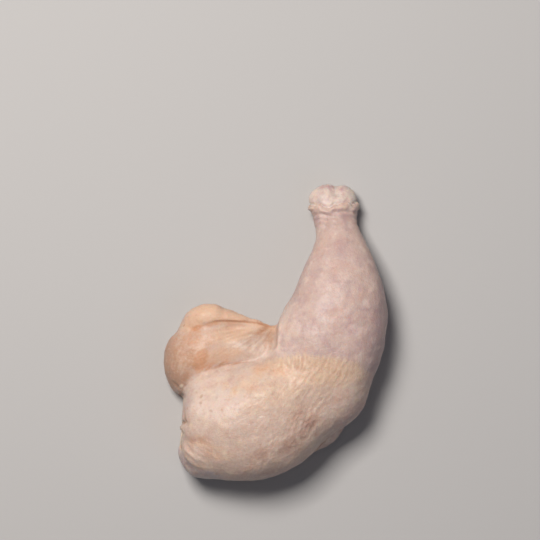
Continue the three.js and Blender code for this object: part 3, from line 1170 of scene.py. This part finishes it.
@dataclass
class HipEnd:
    """The cut end of the thigh: drawn-back meat in a hollow, and the fat between it and the skin.

    Attributes:
        middle: The middle of the hollow.
        reach: Its size along X, Y and Z.
        facing: How far the skin looks towards -X where the cut begins and where it is full.
        top: Where the cut ends along Y, at the groove beside the flap.
        top_blend: How softly it ends there.
        uneven: The waves of its outline: how often each comes in a turn, its height and its phase.
        meat_edge: The share of the hollow's size at which the meat has ended.
        fat_band: How far the fat reaches outside the meat, as a share of the hollow's size.
        fat_blend: Over which share of that size it ends.
        fat_over_meat: How much less fat there is where there is meat.
        lumps: How high the lumps of fat stand.
        lump_pitch: How far apart they are.
        lump_sway: How far their rows bend.
        lump_phase: Where their rows begin.
    """

    middle: Place = (-53.6, -47.4, 13.6)
    reach: Place = (9.8, 14.4, 8.4)
    facing: Point = (-0.1, 0.45)
    top: float = -35.5
    top_blend: Point = (-1.5, 1.0)
    uneven: tuple[Wave, ...] = ((3, 0.05, 0.8), (7, 0.03, 0.0))
    meat_edge: float = 1.12
    fat_band: float = 0.16
    fat_blend: float = 0.2
    fat_over_meat: float = 0.5
    lumps: float = 0.35
    lump_pitch: float = 4.2
    lump_sway: float = 0.7
    lump_phase: float = 1.1

    def shape(self, surface: Surface) -> None:
        """Marks the meat and the fat, and raises the fat's lumps.

        Args:
            surface: The skin.
        """
        _, y, z = surface.places.T
        away = np.linalg.norm((surface.places - np.array(self.middle)) / np.array(self.reach), axis=1)
        outward = smooth_step(-surface.normals[:, 0], *self.facing)
        outward *= smooth_step(self.top - y, *self.top_blend)
        wave = waves(np.arctan2(z - self.middle[2], y - self.middle[1]), self.uneven)
        meat = (1.0 - smooth_step(away + wave, 1.0, self.meat_edge)) * outward
        fat_ends = 1.0 + self.fat_blend + self.fat_band
        fat = (1.0 - smooth_step(away - wave, 1.0 + self.fat_band, fat_ends)) * outward
        _, across, up = (2 * math.pi * surface.places / self.lump_pitch).T
        rows = np.sin(across + self.lump_sway * np.sin(up)) * np.sin(up + self.lump_phase)
        surface.lift += self.lumps * rows * np.maximum(fat - meat, 0.0)
        surface.mark(Zone.MEAT, meat)
        surface.mark(Zone.LARD, np.maximum(fat - self.fat_over_meat * meat, 0.0))


@dataclass
class HockEnd:
    """The end of the drumstick, where the skin has drawn back from the white knuckles of the bone.

    Attributes:
        axis: The middle of the bone, as x and z.
        above: The heights over which all of this fades in from the table.
        edge: Where the skin ends along Y.
        ragged: How far its edge wanders.
        wander: The waves of that edge: how often each comes in a turn, its height and its phase.
        bare_blend: How softly the bare bone begins at the edge.
        lip: How high the thick edge of the skin stands over the bone.
        lip_width: How wide that thick edge is.
        step: How deep the step down to the bone is.
        step_past: How far past the edge that step is.
        step_width: How wide it is.
        step_shade: How strongly it is painted darker than the skin, as painted shade in the step.
        fat: How strongly the edge looks like fat.
        fat_before: How far before the edge the fat is.
        fat_width: How wide it is.
        ring: How high the wrinkles round the ankle are.
        ring_pitch: How far apart they are.
        ring_sway: The waves of their course.
        rings_from: Where the wrinkles begin along Y.
        rings_end: How far before the edge they are full.
        cleft: How deep the groove between the two knuckles is.
        cleft_x: How far that groove is from the bone's middle.
        cleft_width: How wide it is.
        cleft_from: Where it begins along Y.
        cleft_blend: Over which length it gets its depth.
    """

    axis: Point = (30.5, 8.5)
    above: Point = (0.3, 3.0)
    edge: float = 66.0
    ragged: float = 1.0
    wander: tuple[Wave, ...] = ((2, 1.0, 0.6), (5, 0.6, 1.9), (9, 0.45, 0.0), (17, 0.25, 0.0))
    bare_blend: Point = (-0.3, 0.5)
    lip: float = 1.1
    lip_width: float = 1.5
    step: float = 0.7
    step_past: float = 0.6
    step_width: float = 0.9
    step_shade: float = 0.8
    fat: float = 0.5
    fat_before: float = 0.8
    fat_width: float = 1.8
    ring: float = 0.26
    ring_pitch: float = 2.9
    ring_sway: tuple[Wave, ...] = ((2, 0.9, 0.0), (5, 0.5, 0.0))
    rings_from: float = 50.0
    rings_end: float = 2.0
    cleft: float = 1.5
    cleft_x: float = 0.8
    cleft_width: float = 2.6
    cleft_from: float = 69.0
    cleft_blend: float = 4.0

    def shape(self, surface: Surface) -> None:
        """Thickens the skin's edge, wrinkles the ankle, marks the bare end and paints shade into the step.

        Args:
            surface: The skin.
        """
        x, y, z = surface.places.T
        turn = np.arctan2(z - self.axis[1], x - self.axis[0])
        past = y - self.edge - self.ragged * waves(turn, self.wander)
        lip = hump(past + self.lip_width, self.lip_width)
        step = hump(past - self.step_past, self.step_width)
        above = smooth_step(z, *self.above)
        cleft = hump(x - self.axis[0] - self.cleft_x, self.cleft_width)
        cleft *= smooth_step(y, self.cleft_from, self.cleft_from + self.cleft_blend)
        surface.lift += (self.lip * lip - self.step * step - self.cleft * cleft) * above
        bare = smooth_step(past, *self.bare_blend)
        ring = np.sin(2 * math.pi * waves(turn, self.ring_sway, y) / self.ring_pitch)
        ankle = smooth_step(y, self.rings_from, self.edge - self.rings_end)
        surface.lift += self.ring * ring * ankle * (1.0 - bare) * above
        surface.mark(Zone.GRISTLE, bare)
        surface.mark(Zone.LARD, self.fat * hump(past + self.fat_before, self.fat_width))
        # Painted shade in the step down to the bone
        surface.mark(Zone.CREASE, self.step_shade * step)


@dataclass
class SkinRelief:
    """What repeats all over the leg: sags and swells, fine grit, feather follicles and bundles of meat.

    Attributes:
        sizes: For each named input of the tree its value, in millimetres.
        seed: The seed of the follicles' places.
        bundle_wall: How far into a bundle its wall reaches, as a share of the bundles' pitch.
        clear: The heights above the table over which the relief fades in.
    """

    sizes: dict[str, float] = field(
        default_factory=lambda: {
            "Sag Height": 2.6,
            "Sag Pitch": 22.0,
            "Swell Height": 0.9,
            "Swell Pitch": 9.0,
            "Grit Height": 0.22,
            "Grit Pitch": 1.7,
            "Follicle Spacing": 2.8,
            "Follicle Radius": 0.8,
            "Follicle Height": 0.06,
            "Bundle Pitch": 3.0,
            "Bundle Height": 0.6,
        }
    )
    seed: int = 7
    bundle_wall: float = 0.28
    clear: Point = (0.05, 2.0)

    def wave(self, tree: NodeTree, place: NodeSocket, given: bpy_prop_collection, name: str) -> NodeSocket:
        """Adds noise of a named height and pitch.

        Args:
            tree: The tree.
            place: Each vertex's place in millimetres.
            given: The tree's inputs.
            name: The first word of the inputs' names.

        Returns:
            The noise in millimetres, around 0.
        """
        pitch, height = given[f"{name} Pitch"], given[f"{name} Height"]
        scale = add_node(tree, "ShaderNodeMath", {0: 1.0, 1: pitch}, operation="DIVIDE")
        noise = add_node(tree, "ShaderNodeTexNoise", {"Vector": place, "Scale": scale, **SWELLING})
        level = add_node(tree, "ShaderNodeMath", {0: noise, 1: 0.5}, operation="SUBTRACT")
        return add_node(tree, "ShaderNodeMath", {0: level, 1: height}, operation="MULTIPLY")

    def follicles(self, tree: NodeTree, given: bpy_prop_collection) -> NodeSocket:
        """Scatters the follicles over the skin.

        Args:
            tree: The tree.
            given: The tree's inputs.

        Returns:
            1 at the middle of each follicle, falling to 0 at its edge.
        """
        spacing, radius = (
            add_node(tree, "ShaderNodeMath", {0: given[f"Follicle {word}"], 1: MM}, operation="MULTIPLY")
            for word in ("Spacing", "Radius")
        )
        inputs = {
            "Mesh": given["Geometry"],
            "Distance Min": spacing,
            "Density Max": 1 / (self.sizes["Follicle Spacing"] * MM) ** 2,
            "Seed": given["Seed"],
        }
        dots = add_node(tree, "GeometryNodeDistributePointsOnFaces", inputs, distribute_method="POISSON")
        gap = add_node(tree, "GeometryNodeProximity", {"Geometry": dots}, "Distance", target_element="POINTS")
        inputs = {"Value": gap, "From Max": radius, "To Min": 1.0, "To Max": 0.0}
        return add_node(tree, "ShaderNodeMapRange", inputs, interpolation_type="SMOOTHSTEP")

    def bundles(self, tree: NodeTree, place: NodeSocket, given: bpy_prop_collection) -> NodeSocket:
        """Parts the meat into bundles of fibres.

        Args:
            tree: The tree.
            place: Each vertex's place in millimetres.
            given: The tree's inputs.

        Returns:
            0 between the bundles and 1 on them.
        """
        scale = add_node(tree, "ShaderNodeMath", {0: 1.0, 1: given["Bundle Pitch"]}, operation="DIVIDE")
        inputs = {"Vector": place, "Scale": scale}
        wall = add_node(tree, "ShaderNodeTexVoronoi", inputs, "Distance", feature="DISTANCE_TO_EDGE")
        inputs = {"Value": wall, "From Max": self.bundle_wall}
        return add_node(tree, "ShaderNodeMapRange", inputs, interpolation_type="SMOOTHSTEP")

    def tree(self) -> NodeTree:
        """Builds the Geometry Nodes tree.

        Returns:
            The tree, with a named input for each size.
        """
        tree = bpy.data.node_groups.new("skin_relief", "GeometryNodeTree")
        tree.interface.new_socket("Geometry", in_out="OUTPUT", socket_type="NodeSocketGeometry")
        kinds = {"Geometry": "Geometry", "Finish": "Material", "Seed": "Int"}
        for name, kind in (kinds | dict.fromkeys(self.sizes, "Float")).items():
            tree.interface.new_socket(name, in_out="INPUT", socket_type=f"NodeSocket{kind}")
        given = tree.nodes.new("NodeGroupInput").outputs
        spot = add_node(tree, "GeometryNodeInputPosition")
        place = add_node(tree, "ShaderNodeVectorMath", {0: spot, 3: 1 / MM}, operation="SCALE")
        meat, bare = (
            add_node(tree, "GeometryNodeInputNamedAttribute", {"Name": zone.value}, data_type="FLOAT")
            for zone in (Zone.MEAT, Zone.GRISTLE)
        )
        cut = add_node(tree, "ShaderNodeMath", {0: meat, 1: bare}, operation="MAXIMUM")
        skin = add_node(tree, "ShaderNodeMath", {0: 1.0, 1: cut}, operation="SUBTRACT")
        height = self.wave(tree, place, given, "Swell")
        for name in ("Grit", "Sag"):
            inputs = {0: height, 1: self.wave(tree, place, given, name)}
            height = add_node(tree, "ShaderNodeMath", inputs, operation="ADD")
        shaped = given["Geometry"]
        for name, pattern, within in (
            ("Follicle", self.follicles(tree, given), skin),
            ("Bundle", self.bundles(tree, place, given), meat),
        ):
            part = add_node(tree, "ShaderNodeMath", {0: pattern, 1: within}, operation="MULTIPLY")
            inputs = {0: part, 1: given[f"{name} Height"], 2: height}
            height = add_node(tree, "ShaderNodeMath", inputs, operation="MULTIPLY_ADD")
            inputs = {"Geometry": shaped, "Name": name.lower(), "Value": part}
            shaped = add_node(tree, "GeometryNodeStoreNamedAttribute", inputs, data_type="FLOAT")
        rise = add_node(tree, "ShaderNodeSeparateXYZ", {0: place}, "Z")
        inputs = {"Value": rise, "From Min": self.clear[0], "From Max": self.clear[1]}
        clear = add_node(tree, "ShaderNodeMapRange", inputs)
        for factor in (clear, MM):
            height = add_node(tree, "ShaderNodeMath", {0: height, 1: factor}, operation="MULTIPLY")
        normal = add_node(tree, "GeometryNodeInputNormal")
        push = add_node(tree, "ShaderNodeVectorMath", {0: normal, 3: height}, operation="SCALE")
        for kind, inputs in (
            ("GeometryNodeSetPosition", {"Offset": push}),
            ("GeometryNodeRealizeInstances", {}),
            ("GeometryNodeSetMaterial", {"Material": given["Finish"]}),
        ):
            shaped = add_node(tree, kind, {"Geometry": shaped, **inputs})
        add_node(tree, "NodeGroupOutput", {0: shaped})
        return tree

    def apply(self, leg: Object, finish: Material) -> None:
        """Shapes the leg with the tree and leaves a plain mesh.

        Args:
            leg: The leg.
            finish: The material that the tree sets.
        """
        relief = leg.modifiers.new("relief", "NODES")
        relief.node_group = self.tree()
        values = {**self.sizes, "Finish": finish, "Seed": self.seed}
        for item in relief.node_group.interface.items_tree:
            if item.in_out == "INPUT" and item.name in values:
                relief[item.identifier] = values[item.name]
        bake_modifiers(leg)


@dataclass
class ChickenLeg:
    """The whole leg, put together from its form, its folds, its feather rows and its two ends.

    Attributes:
        form: The main form.
        loose_skin: The folds.
        feather_rows: The small ridges.
        tones: The colours of the skin.
        hip: The cut end of the thigh.
        hock: The bone's end.
        relief: What repeats all over the skin.
    """

    form: LegForm = field(default_factory=LegForm)
    loose_skin: LooseSkin = field(default_factory=LooseSkin)
    feather_rows: FeatherRows = field(default_factory=FeatherRows)
    tones: SkinTones = field(default_factory=SkinTones)
    hip: HipEnd = field(default_factory=HipEnd)
    hock: HockEnd = field(default_factory=HockEnd)
    relief: SkinRelief = field(default_factory=SkinRelief)

    def build(self, finish: Material) -> Object:
        """Makes the leg and gives it its finish.

        Args:
            finish: The skin's material.

        Returns:
            The piece, ready to ride on its body.
        """
        leg = self.form.build()
        surface = Surface.read(leg.data)
        grounds = self.feather_rows.shape(surface)
        self.tones.paint(surface, grounds)
        self.loose_skin.shape(surface)
        self.hip.shape(surface)
        self.hock.shape(surface)
        surface.write()
        self.relief.apply(leg, finish)
        return leg


@dataclass(frozen=True)
class Mottle:
    """Soft cloudy marks on the skin.

    Attributes:
        colour: The colour of the marks.
        size: How far apart they are, in millimetres.
        share: How strong they are.
        start: The level of the noise at which a mark begins.
        zone: The zone that has them, or None for the whole leg.
        blend: How far above that level a mark is full.
        shift: How far the noise is moved, times the mottle's number along X, so that no two are alike.
    """

    colour: str
    size: float
    share: float
    start: float = 0.5
    zone: Zone | None = None
    blend: float = 0.25
    shift: Place = (31.0, 17.0, 5.0)

    def cover(
        self, tree: NodeTree, place: NodeSocket, painted: Mapping[str, NodeSocket], number: int
    ) -> NodeSocket:
        """Works out where the marks are.

        Args:
            tree: The material's tree.
            place: The place on the skin, in millimetres.
            painted: The skin's attributes.
            number: The mottle's number.

        Returns:
            How strongly its marks cover.
        """
        x, y, z = self.shift
        inputs = {0: place, 1: (x * number, y, z)}
        shifted = add_node(tree, "ShaderNodeVectorMath", inputs, operation="ADD")
        inputs = {"Vector": shifted, "Scale": 1 / self.size, **CLOUDY}
        noise = add_node(tree, "ShaderNodeTexNoise", inputs)
        full = self.start + self.blend
        inputs = {"Value": noise, "From Min": self.start, "From Max": full, "To Max": self.share}
        marks = add_node(tree, "ShaderNodeMapRange", inputs, interpolation_type="SMOOTHSTEP")
        if self.zone is None:
            return marks
        inputs = {0: marks, 1: painted[self.zone.value]}
        return add_node(tree, "ShaderNodeMath", inputs, operation="MULTIPLY")


@dataclass(frozen=True)
class PoultrySkin:
    """Raw poultry skin over fat and meat: thin, moist and a little translucent.

    Light goes a little way in and comes out warmer, so the shades are soft. The film of moisture
    gives wide, weak highlights. The colours are mostly those of the tissue under the skin; some zones
    add painted shade in creases and on flanks, and painted light on lips and edges.

    Attributes:
        plain: The colour of skin that is in no zone.
        tones: Each zone's colour and how strongly it covers, from the lowest to the topmost.
        mottles: The cloudy marks over them.
        washes: For each pattern in the relief its colour and how strongly it covers.
        zone_edge: How strongly a zone is painted where its colour begins and where it is full.
        ragged: How far a zone's edge wanders.
        ragged_size: The size of those wanders.
        roughness: The least and the greatest roughness.
        wet: How much moisture lies on the skin.
        wet_roughness: How rough that film is.
        ior: The refraction of fat and tissue.
        depth: How far light goes in.
        reach: How far red, green and blue go, as shares of that depth.
        scatter: The share of the light that goes in.
        fine: The size of the finest unevenness.
        crackle: The size of the meshes in the skin's fine net of lines.
        crackle_edge: How wide the lines are, as a share of a mesh.
        crackle_share: How much deeper the net is than the finest unevenness.
        bump: How strongly both show.
        bump_height: How high both stand.
    """

    plain: str = "#cab2a5"
    tones: tuple[tuple[Zone, str, float], ...] = (
        (Zone.SHIN, "#c9b0a7", 1.0),
        # Paler skin, partly painted light
        (Zone.PALE_AND_PAINTED_LIGHT, "#dec9bd", 0.8),
        (Zone.FAT, "#dabba1", 0.85),
        (Zone.PEACH, "#dbb79c", 0.95),
        (Zone.GLOW, "#dba683", 0.6),
        # Mauve skin, partly painted shade
        (Zone.MAUVE_AND_PAINTED_SHADE, "#a48c92", 0.5),
        # Flushes in the skin, partly painted shade
        (Zone.FLUSH, "#a27a6f", 0.65),
        (Zone.BRUISE, "#977c71", 0.75),
        (Zone.AMBER, "#c98f68", 0.8),
        # Brownish skin, mostly painted shade
        (Zone.TAN, "#b1866b", 0.75),
        (Zone.LAYER, "#b7a8aa", 0.85),
        # Paler lips of the folds, partly painted light
        (Zone.RIM_AND_PAINTED_LIGHT, "#f0d6c8", 0.85),
        # Painted shade in the creases and in the hock's step
        (Zone.CREASE, "#b07c5c", 0.75),
        (Zone.PORE, "#b0866a", 0.6),
        (Zone.LARD, "#ead4bc", 0.9),
        (Zone.MEAT, "#b0615c", 1.0),
        (Zone.GRISTLE, "#e0d0c4", 1.0),
    )
    mottles: tuple[Mottle, ...] = (
        Mottle("#a98d93", 9.0, 0.46, 0.44, Zone.SHIN),
        Mottle("#e6d2c8", 6.0, 0.45, 0.48, Zone.SHIN),
        Mottle("#b58d8e", 3.4, 0.3, 0.5, Zone.SHIN),
        Mottle("#c99583", 7.0, 0.26, 0.5),
        Mottle("#ead3b8", 5.2, 0.42, 0.5, Zone.THIGH),
        Mottle("#b98d7c", 5.6, 0.4, 0.52, Zone.THIGH),
        Mottle("#e4cfb6", 2.8, 0.26, 0.52, Zone.THIGH),
        Mottle("#b98f80", 2.6, 0.34, 0.53, Zone.THIGH),
        Mottle("#eedfd0", 2.0, 0.24, 0.52, Zone.THIGH),
        Mottle("#c08e74", 2.4, 0.3, 0.54),
        Mottle("#e8d8ca", 1.3, 0.16, 0.5),
        Mottle("#b98f7b", 1.1, 0.22, 0.54),
        Mottle("#b98890", 5.0, 0.55, 0.5, Zone.GRISTLE),
    )
    washes: tuple[tuple[str, str, float], ...] = (
        ("valley", "#b58a6c", 0.85),
        ("crest", "#f0dcc4", 0.75),
        ("follicle", "#e8d6c6", 0.14),
        ("sinew", "#dba79a", 0.7),
    )
    zone_edge: Point = (0.14, 0.9)
    ragged: float = 0.6
    ragged_size: float = 2.6
    roughness: Point = (0.42, 0.6)
    wet: float = 0.15
    wet_roughness: float = 0.27
    ior: float = 1.4
    depth: float = 1.4
    reach: Place = (1.0, 0.45, 0.25)
    scatter: float = 0.35
    fine: float = 0.7
    crackle: float = 1.2
    crackle_edge: float = 0.25
    crackle_share: float = 0.35
    bump: float = 0.6
    bump_height: float = 0.25

    def layers(
        self, tree: NodeTree, place: NodeSocket, painted: Mapping[str, NodeSocket]
    ) -> Iterator[tuple[NodeSocket, str]]:
        """Works out how the colours cover the plain skin, from the lowest to the topmost.

        Args:
            tree: The material's tree.
            place: The place on the skin, in millimetres.
            painted: The skin's attributes.

        Returns:
            One after another, how strongly a colour covers, and the colour.
        """
        inputs = {"Vector": place, "Scale": 1 / self.ragged_size, **RAGGED}
        noise = add_node(tree, "ShaderNodeTexNoise", inputs)
        inputs = {0: noise, 1: self.ragged, 2: -self.ragged / 2}
        wander = add_node(tree, "ShaderNodeMath", inputs, operation="MULTIPLY_ADD")
        start, full = self.zone_edge
        for zone, colour, strength in self.tones:
            inputs = {0: painted[zone.value], 1: wander}
            value = add_node(tree, "ShaderNodeMath", inputs, operation="ADD")
            inputs = {"Value": value, "From Min": start, "From Max": full, "To Max": strength}
            share = add_node(tree, "ShaderNodeMapRange", inputs, interpolation_type="SMOOTHSTEP")
            yield share, colour
        for number, mottle in enumerate(self.mottles):
            yield mottle.cover(tree, place, painted, number), mottle.colour
        for name, colour, strength in self.washes:
            inputs = {0: painted[name], 1: strength}
            share = add_node(tree, "ShaderNodeMath", inputs, operation="MULTIPLY", use_clamp=True)
            yield share, colour

    def texture(self, tree: NodeTree, place: NodeSocket) -> tuple[NodeSocket, NodeSocket]:
        """Adds the finest unevenness and the skin's net of lines.

        The real net is finer still, and is drawn as coarse as it needs to be to show.

        Args:
            tree: The material's tree.
            place: The place on the skin, in millimetres.

        Returns:
            The roughness and the bumped normal.
        """
        inputs = {"Vector": place, "Scale": 1 / self.fine, **GRITTY}
        fine = add_node(tree, "ShaderNodeTexNoise", inputs)
        inputs = {"Vector": place, "Scale": 1 / self.crackle}
        net = add_node(tree, "ShaderNodeTexVoronoi", inputs, "Distance", feature="DISTANCE_TO_EDGE")
        net = add_node(tree, "ShaderNodeMapRange", {"Value": net, "From Max": self.crackle_edge})
        inputs = {0: net, 1: self.crackle_share, 2: fine}
        height = add_node(tree, "ShaderNodeMath", inputs, operation="MULTIPLY_ADD")
        inputs = {"Height": height, "Strength": self.bump, "Distance": self.bump_height * MM}
        bumped = add_node(tree, "ShaderNodeBump", inputs)
        inputs = {"Value": fine, "To Min": self.roughness[0], "To Max": self.roughness[1]}
        return add_node(tree, "ShaderNodeMapRange", inputs), bumped

    def material(self) -> Material:
        """Builds the material.

        Returns:
            The material, which reads the skin's own attributes and Object coordinates.
        """
        made = bpy.data.materials.new("raw_poultry_skin")
        made.use_nodes = True
        tree = made.node_tree
        tree.nodes.clear()
        place = add_node(tree, "ShaderNodeTexCoord", output="Object")
        place = add_node(tree, "ShaderNodeVectorMath", {0: place, 3: 1 / MM}, operation="SCALE")
        painted = {
            name: add_node(tree, "ShaderNodeAttribute", output="Fac", attribute_name=name)
            for name in (*(zone.value for zone in Zone), "valley", "crest", "follicle", "bundle")
        }
        inputs = {0: painted[Zone.MEAT.value], 1: painted["bundle"]}
        painted["sinew"] = add_node(tree, "ShaderNodeMath", inputs, operation="SUBTRACT", use_clamp=True)
        colour = add_node(tree, "ShaderNodeRGB")
        colour.default_value = linear(self.plain)
        for share, code in self.layers(tree, place, painted):
            inputs = {0: share, 6: colour, 7: linear(code)}
            colour = add_node(tree, "ShaderNodeMix", inputs, 2, data_type="RGBA")
        rough, bumped = self.texture(tree, place)
        inputs = {
            "Base Color": colour,
            "Roughness": rough,
            "Normal": bumped,
            "IOR": self.ior,
            "Subsurface Weight": self.scatter,
            "Subsurface Radius": self.reach,
            "Subsurface Scale": self.depth * MM,
            "Coat Weight": self.wet,
            "Coat Roughness": self.wet_roughness,
        }
        shader = add_node(tree, "ShaderNodeBsdfPrincipled", inputs)
        add_node(tree, "ShaderNodeOutputMaterial", {0: shader})
        return made


@dataclass(frozen=True)
class Lamp:
    """A soft square light that shines on the leg.

    Attributes:
        place: Where it hangs, in metres.
        power: Its power in watts.
        width: The side of the square, in metres.
        tint: Its colour.
    """

    place: Place
    power: float
    width: float
    tint: str


@dataclass
class Studio:
    """A plain pale floor, soft light from above, and the camera straight above the bend.

    Attributes:
        floor_width: The side of the floor, in metres.
        floor_colour: Its colour.
        floor_roughness: Its roughness.
        camera_x: Where the camera hangs along X, in metres.
        camera_y: Where it hangs along Y.
        camera_height: Where it hangs above the floor.
        focal_height: The height at which the scale of the picture holds.
        frame_pixels: The side of the picture, in pixels.
        pixel: What one pixel shows of the leg, in metres.
        sensor: The width of the camera's sensor, in millimetres.
        lamps: The lights by name.
        sky_colour: The colour of the light from all round.
        sky_strength: How strong that light is.
    """

    floor_width: float = 8.0
    floor_colour: str = "#bcbbba"
    floor_roughness: float = 0.9
    camera_x: float = -0.0027
    camera_y: float = 0.0324
    camera_height: float = 1.8
    focal_height: float = 0.014
    frame_pixels: int = 540
    pixel: float = 0.52 * MM
    sensor: float = 36.0
    lamps: dict[str, Lamp] = field(
        default_factory=lambda: {
            "key_light": Lamp((-0.3, 0.46, 1.08), 15.7, 0.42, "#fff9f4"),
            "fill_light": Lamp((0.7, -0.6, 0.9), 1.2, 0.8, "#e4e8ff"),
        }
    )
    sky_colour: str = "#eef0f4"
    sky_strength: float = 0.09

    def floor(self) -> None:
        """Lays the floor that the leg lies on."""
        mesh = bpy.data.meshes.new("floor")
        half = self.floor_width / 2
        corners = [(-half, -half, 0), (half, -half, 0), (half, half, 0), (-half, half, 0)]
        mesh.from_pydata(corners, [], [(0, 1, 2, 3)])
        matt = bpy.data.materials.new("matt_floor")
        matt.use_nodes = True
        shader = matt.node_tree.nodes["Principled BSDF"]
        shader.inputs["Base Color"].default_value = linear(self.floor_colour)
        shader.inputs["Roughness"].default_value = self.floor_roughness
        mesh.materials.append(matt)
        put_in_scene("floor", mesh)

    def hang(self, name: str, lamp: Lamp) -> None:
        """Hangs one light.

        Args:
            name: Its name.
            lamp: What it is like.
        """
        light = bpy.data.lights.new(name, "AREA")
        light.energy = lamp.power
        light.size = lamp.width
        light.color = linear(lamp.tint)[:3]
        holder = put_in_scene(name, light)
        holder.location = lamp.place
        holder.rotation_euler = (-Vector(lamp.place)).to_track_quat("-Z", "Y").to_euler()

    def camera(self) -> None:
        """Puts the camera straight above, at the photograph's angle and scale."""
        eye = bpy.data.cameras.new("camera")
        eye.sensor_width = self.sensor
        distance = self.camera_height - self.focal_height
        eye.lens = self.sensor * distance / (self.frame_pixels * self.pixel)
        camera = put_in_scene("camera", eye)
        camera.location = (self.camera_x, self.camera_y, self.camera_height)
        bpy.context.scene.camera = camera

    def build(self) -> None:
        """Makes the floor, the lights and the camera."""
        self.floor()
        for name, lamp in self.lamps.items():
            self.hang(name, lamp)
        sky = bpy.data.worlds.new("sky")
        sky.use_nodes = True
        background = sky.node_tree.nodes["Background"]
        background.inputs["Color"].default_value = linear(self.sky_colour)
        background.inputs["Strength"].default_value = self.sky_strength
        bpy.context.scene.world = sky
        bpy.context.scene.view_settings.view_transform = "Standard"
        self.camera()


def main() -> None:
    """Builds the leg and the studio, and reports each piece."""
    logging.basicConfig(level=logging.INFO, format="%(name)s: %(message)s")
    leg = ChickenLeg().build(PoultrySkin().material())
    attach(leg, BODY)
    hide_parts(NODE)
    LOG.info("%s: %d faces", leg.name, len(leg.data.polygons))
    Studio().build()
    LOG.info("studio: floor, %d lights and a camera", len(bpy.data.lights))


if __name__ == "__main__":
    main()
